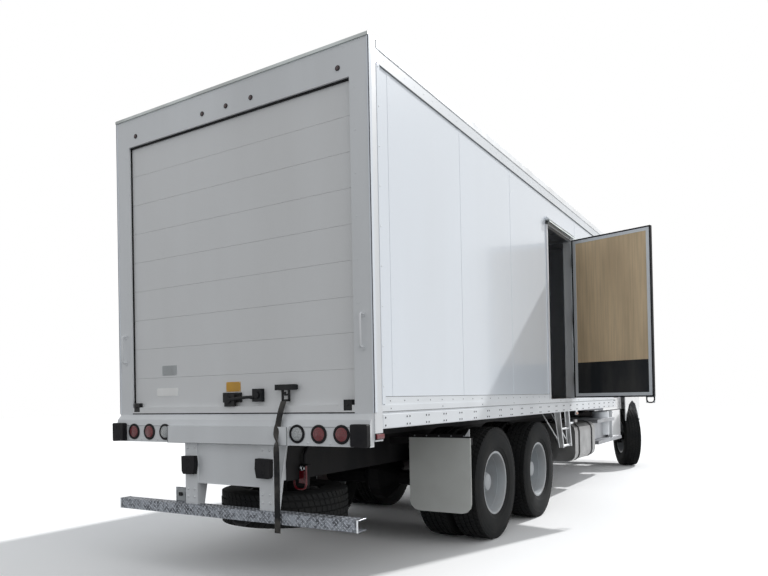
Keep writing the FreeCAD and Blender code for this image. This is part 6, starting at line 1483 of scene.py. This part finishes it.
def skirts():
    """White panels between steps and front wheel, canisters beside them and bars on the upper tread."""
    panels, column, bolts, strips = Form(), Form(), Form(), Form()
    for side in (1, -1):
        panels.box(mirrored(side, SKIRT_FACE - 0.010, SKIRT_FACE), SKIRT_Y, SKIRT_Z)
        return_x = mirrored(side, SKIRT_FACE - 0.076, SKIRT_FACE - 0.006)
        panels.box(return_x, (SKIRT_Y[0], SKIRT_Y[0] + 0.008), SKIRT_Z)
        for y in (SKIRT_Y[0] + 0.05, SKIRT_Y[1] - 0.05):
            for z in (SKIRT_Z[0] + 0.04, SKIRT_Z[1] - 0.04):
                bolts.dome((side * SKIRT_FACE, y, z), (side, 0, 0), 0.009, 0.004, 8)
        x, y = CANISTER
        column.rod((side * x, y, 0.66), (side * x, y, 1.05), CANISTER_RADIUS, 32)
        for y in GRIP_BAR_Y:
            strips.box(mirrored(side, *GRIP_BAR_X), (y, y + 0.022), (0.9495, 0.9525))
    piece(panels, "cab_skirts", "cab_white", bevel=0.003)
    piece(column, "skirt_canisters", "rail_aluminium", bevel=0.012)
    piece(bolts, "skirt_bolts", "bolt_grey")
    piece(strips, "step_grip_bars", "bright_aluminium", bevel=0.001)


cab_front()
skirts()


# Underneath

FLAP_Y = reach("mudflaps", "y", 0)
FLAP_X = (0.640, reach("mudflaps", "x"))
FLAP_BOLT_X = row(0.70, 0.12, 5)
NOTCH = ((1.192, 0.995), (1.237, 0.995), (1.237, 1.059))
COUPLING_Y = 0.290
COVER_OUTLINE = ((0.380, 0.840), (0.380, 0.700), (0.392, 0.674), (0.415, 0.664), (0.460, 0.664),
                 (0.480, 0.674), (0.492, 0.700), (0.492, 0.840))
TANK_TOP = 0.950
FILLER = (1.020, 5.600, TANK_TOP)
FEED_Y = 5.95
RAIL_SIDE_X = 0.445


def mudflap_details():
    """Clamp bars, bolts and white corner notches of both mudflaps."""
    bars, bolts, notch = Form(), Form(), Form()
    for side in (1, -1):
        bars.box(mirrored(side, *FLAP_X), (FLAP_Y - 0.004, FLAP_Y + 0.002), (0.982, 1.012))
        for x in FLAP_BOLT_X:
            bolts.dome((side * x, FLAP_Y - 0.004, 0.997), (0, -1, 0), 0.009, 0.006, 6)
        notch.profiled(side, NOTCH, (FLAP_Y - 0.012, FLAP_Y - 0.005))
    piece(bars, "mudflap_clamps", "chassis_black", bevel=0.001)
    piece(bolts, "mudflap_bolts", "bolt_grey")
    piece(notch, "mudflap_corner_plates", "frame_white")


def air_couplings():
    """Couplings in a red cover beside the right hanger post, with their hoses."""
    body, loop, hoses, glints = Form(), Form(), Form(), Form()
    y = COUPLING_Y
    body.box((0.385, 0.485), (y, y + 0.045), (0.690, 0.835))
    body.box((0.375, 0.495), (y - 0.010, y + 0.055), (0.835, 0.850))
    loop.pipe([(x, y - 0.012, z) for x, z in COVER_OUTLINE], 0.0085, 8)
    loop.box((0.425, 0.475), (y - 0.014, y - 0.002), (0.710, 0.800))
    for x, back in ((0.405, 0.34), (0.455, 0.36)):
        head = [(0.0, 0.020), (0.018, 0.020), (0.022, 0.016), (0.022, 0.0)]
        glints.turned(head, (x, y - 0.022, 0.822), "Y", 14)
        hose = [(x, y + 0.02, 0.850), (x, y + 0.02, 0.920), (x - 0.01, back, 0.975),
                (x - 0.02, back + 0.30, 0.985)]
        hoses.pipe(hose, 0.013, 8)
    piece(body, "coupling_bracket", "chassis_black", bevel=0.003)
    piece(loop, "coupling_covers", "red_lens")
    piece(glints, "coupling_heads", "ladder_steel")
    piece(hoses, "coupling_hoses", "black_rubber")


def tank_details():
    """The fuel tank's filler neck and cap, and the feed lines along the frame rail."""
    neck, cap, lines = Form(), Form(), Form()
    neck.turned([(-0.015, 0.056), (0.018, 0.056), (0.022, 0.050)], FILLER, "Z", 24, capped=True)
    cap.turned([(0.022, 0.062), (0.048, 0.062), (0.054, 0.054), (0.054, 0.0)], FILLER, "Z", 12)
    for shift in (0.0, 0.05):
        low = TANK_TOP - 0.03 - shift
        lines.pipe([(0.74 + shift, FEED_Y, TANK_TOP - 0.01), (0.74 + shift, FEED_Y, TANK_TOP + 0.030),
                    (0.66 + shift / 2, FEED_Y, TANK_TOP + 0.040), (0.47, FEED_Y, low + 0.01),
                    (RAIL_SIDE_X, 6.10, low), (RAIL_SIDE_X, 7.30, low)], 0.0085, 8)
    piece(neck, "tank_filler_neck", "ladder_steel")
    piece(cap, "tank_filler_cap", "black_steel", crisp=25)
    piece(lines, "tank_fuel_lines", "black_rubber")


def amber_side_lamp():
    """A marker lamp under each lower rail."""
    base, lens = Form(), Form()
    for side in (1, -1):
        base.box(mirrored(side, 1.262, 1.278), (4.985, 5.055), (1.082, 1.136))
        lens.box(mirrored(side, 1.276, 1.290), (4.992, 5.048), (1.088, 1.112))
    piece(base, "side_lamp_bases", "frame_white", bevel=0.002)
    piece(lens, "side_lamp_lenses", "amber_lens", bevel=0.003)


mudflap_details()
air_couplings()
tank_details()
amber_side_lamp()
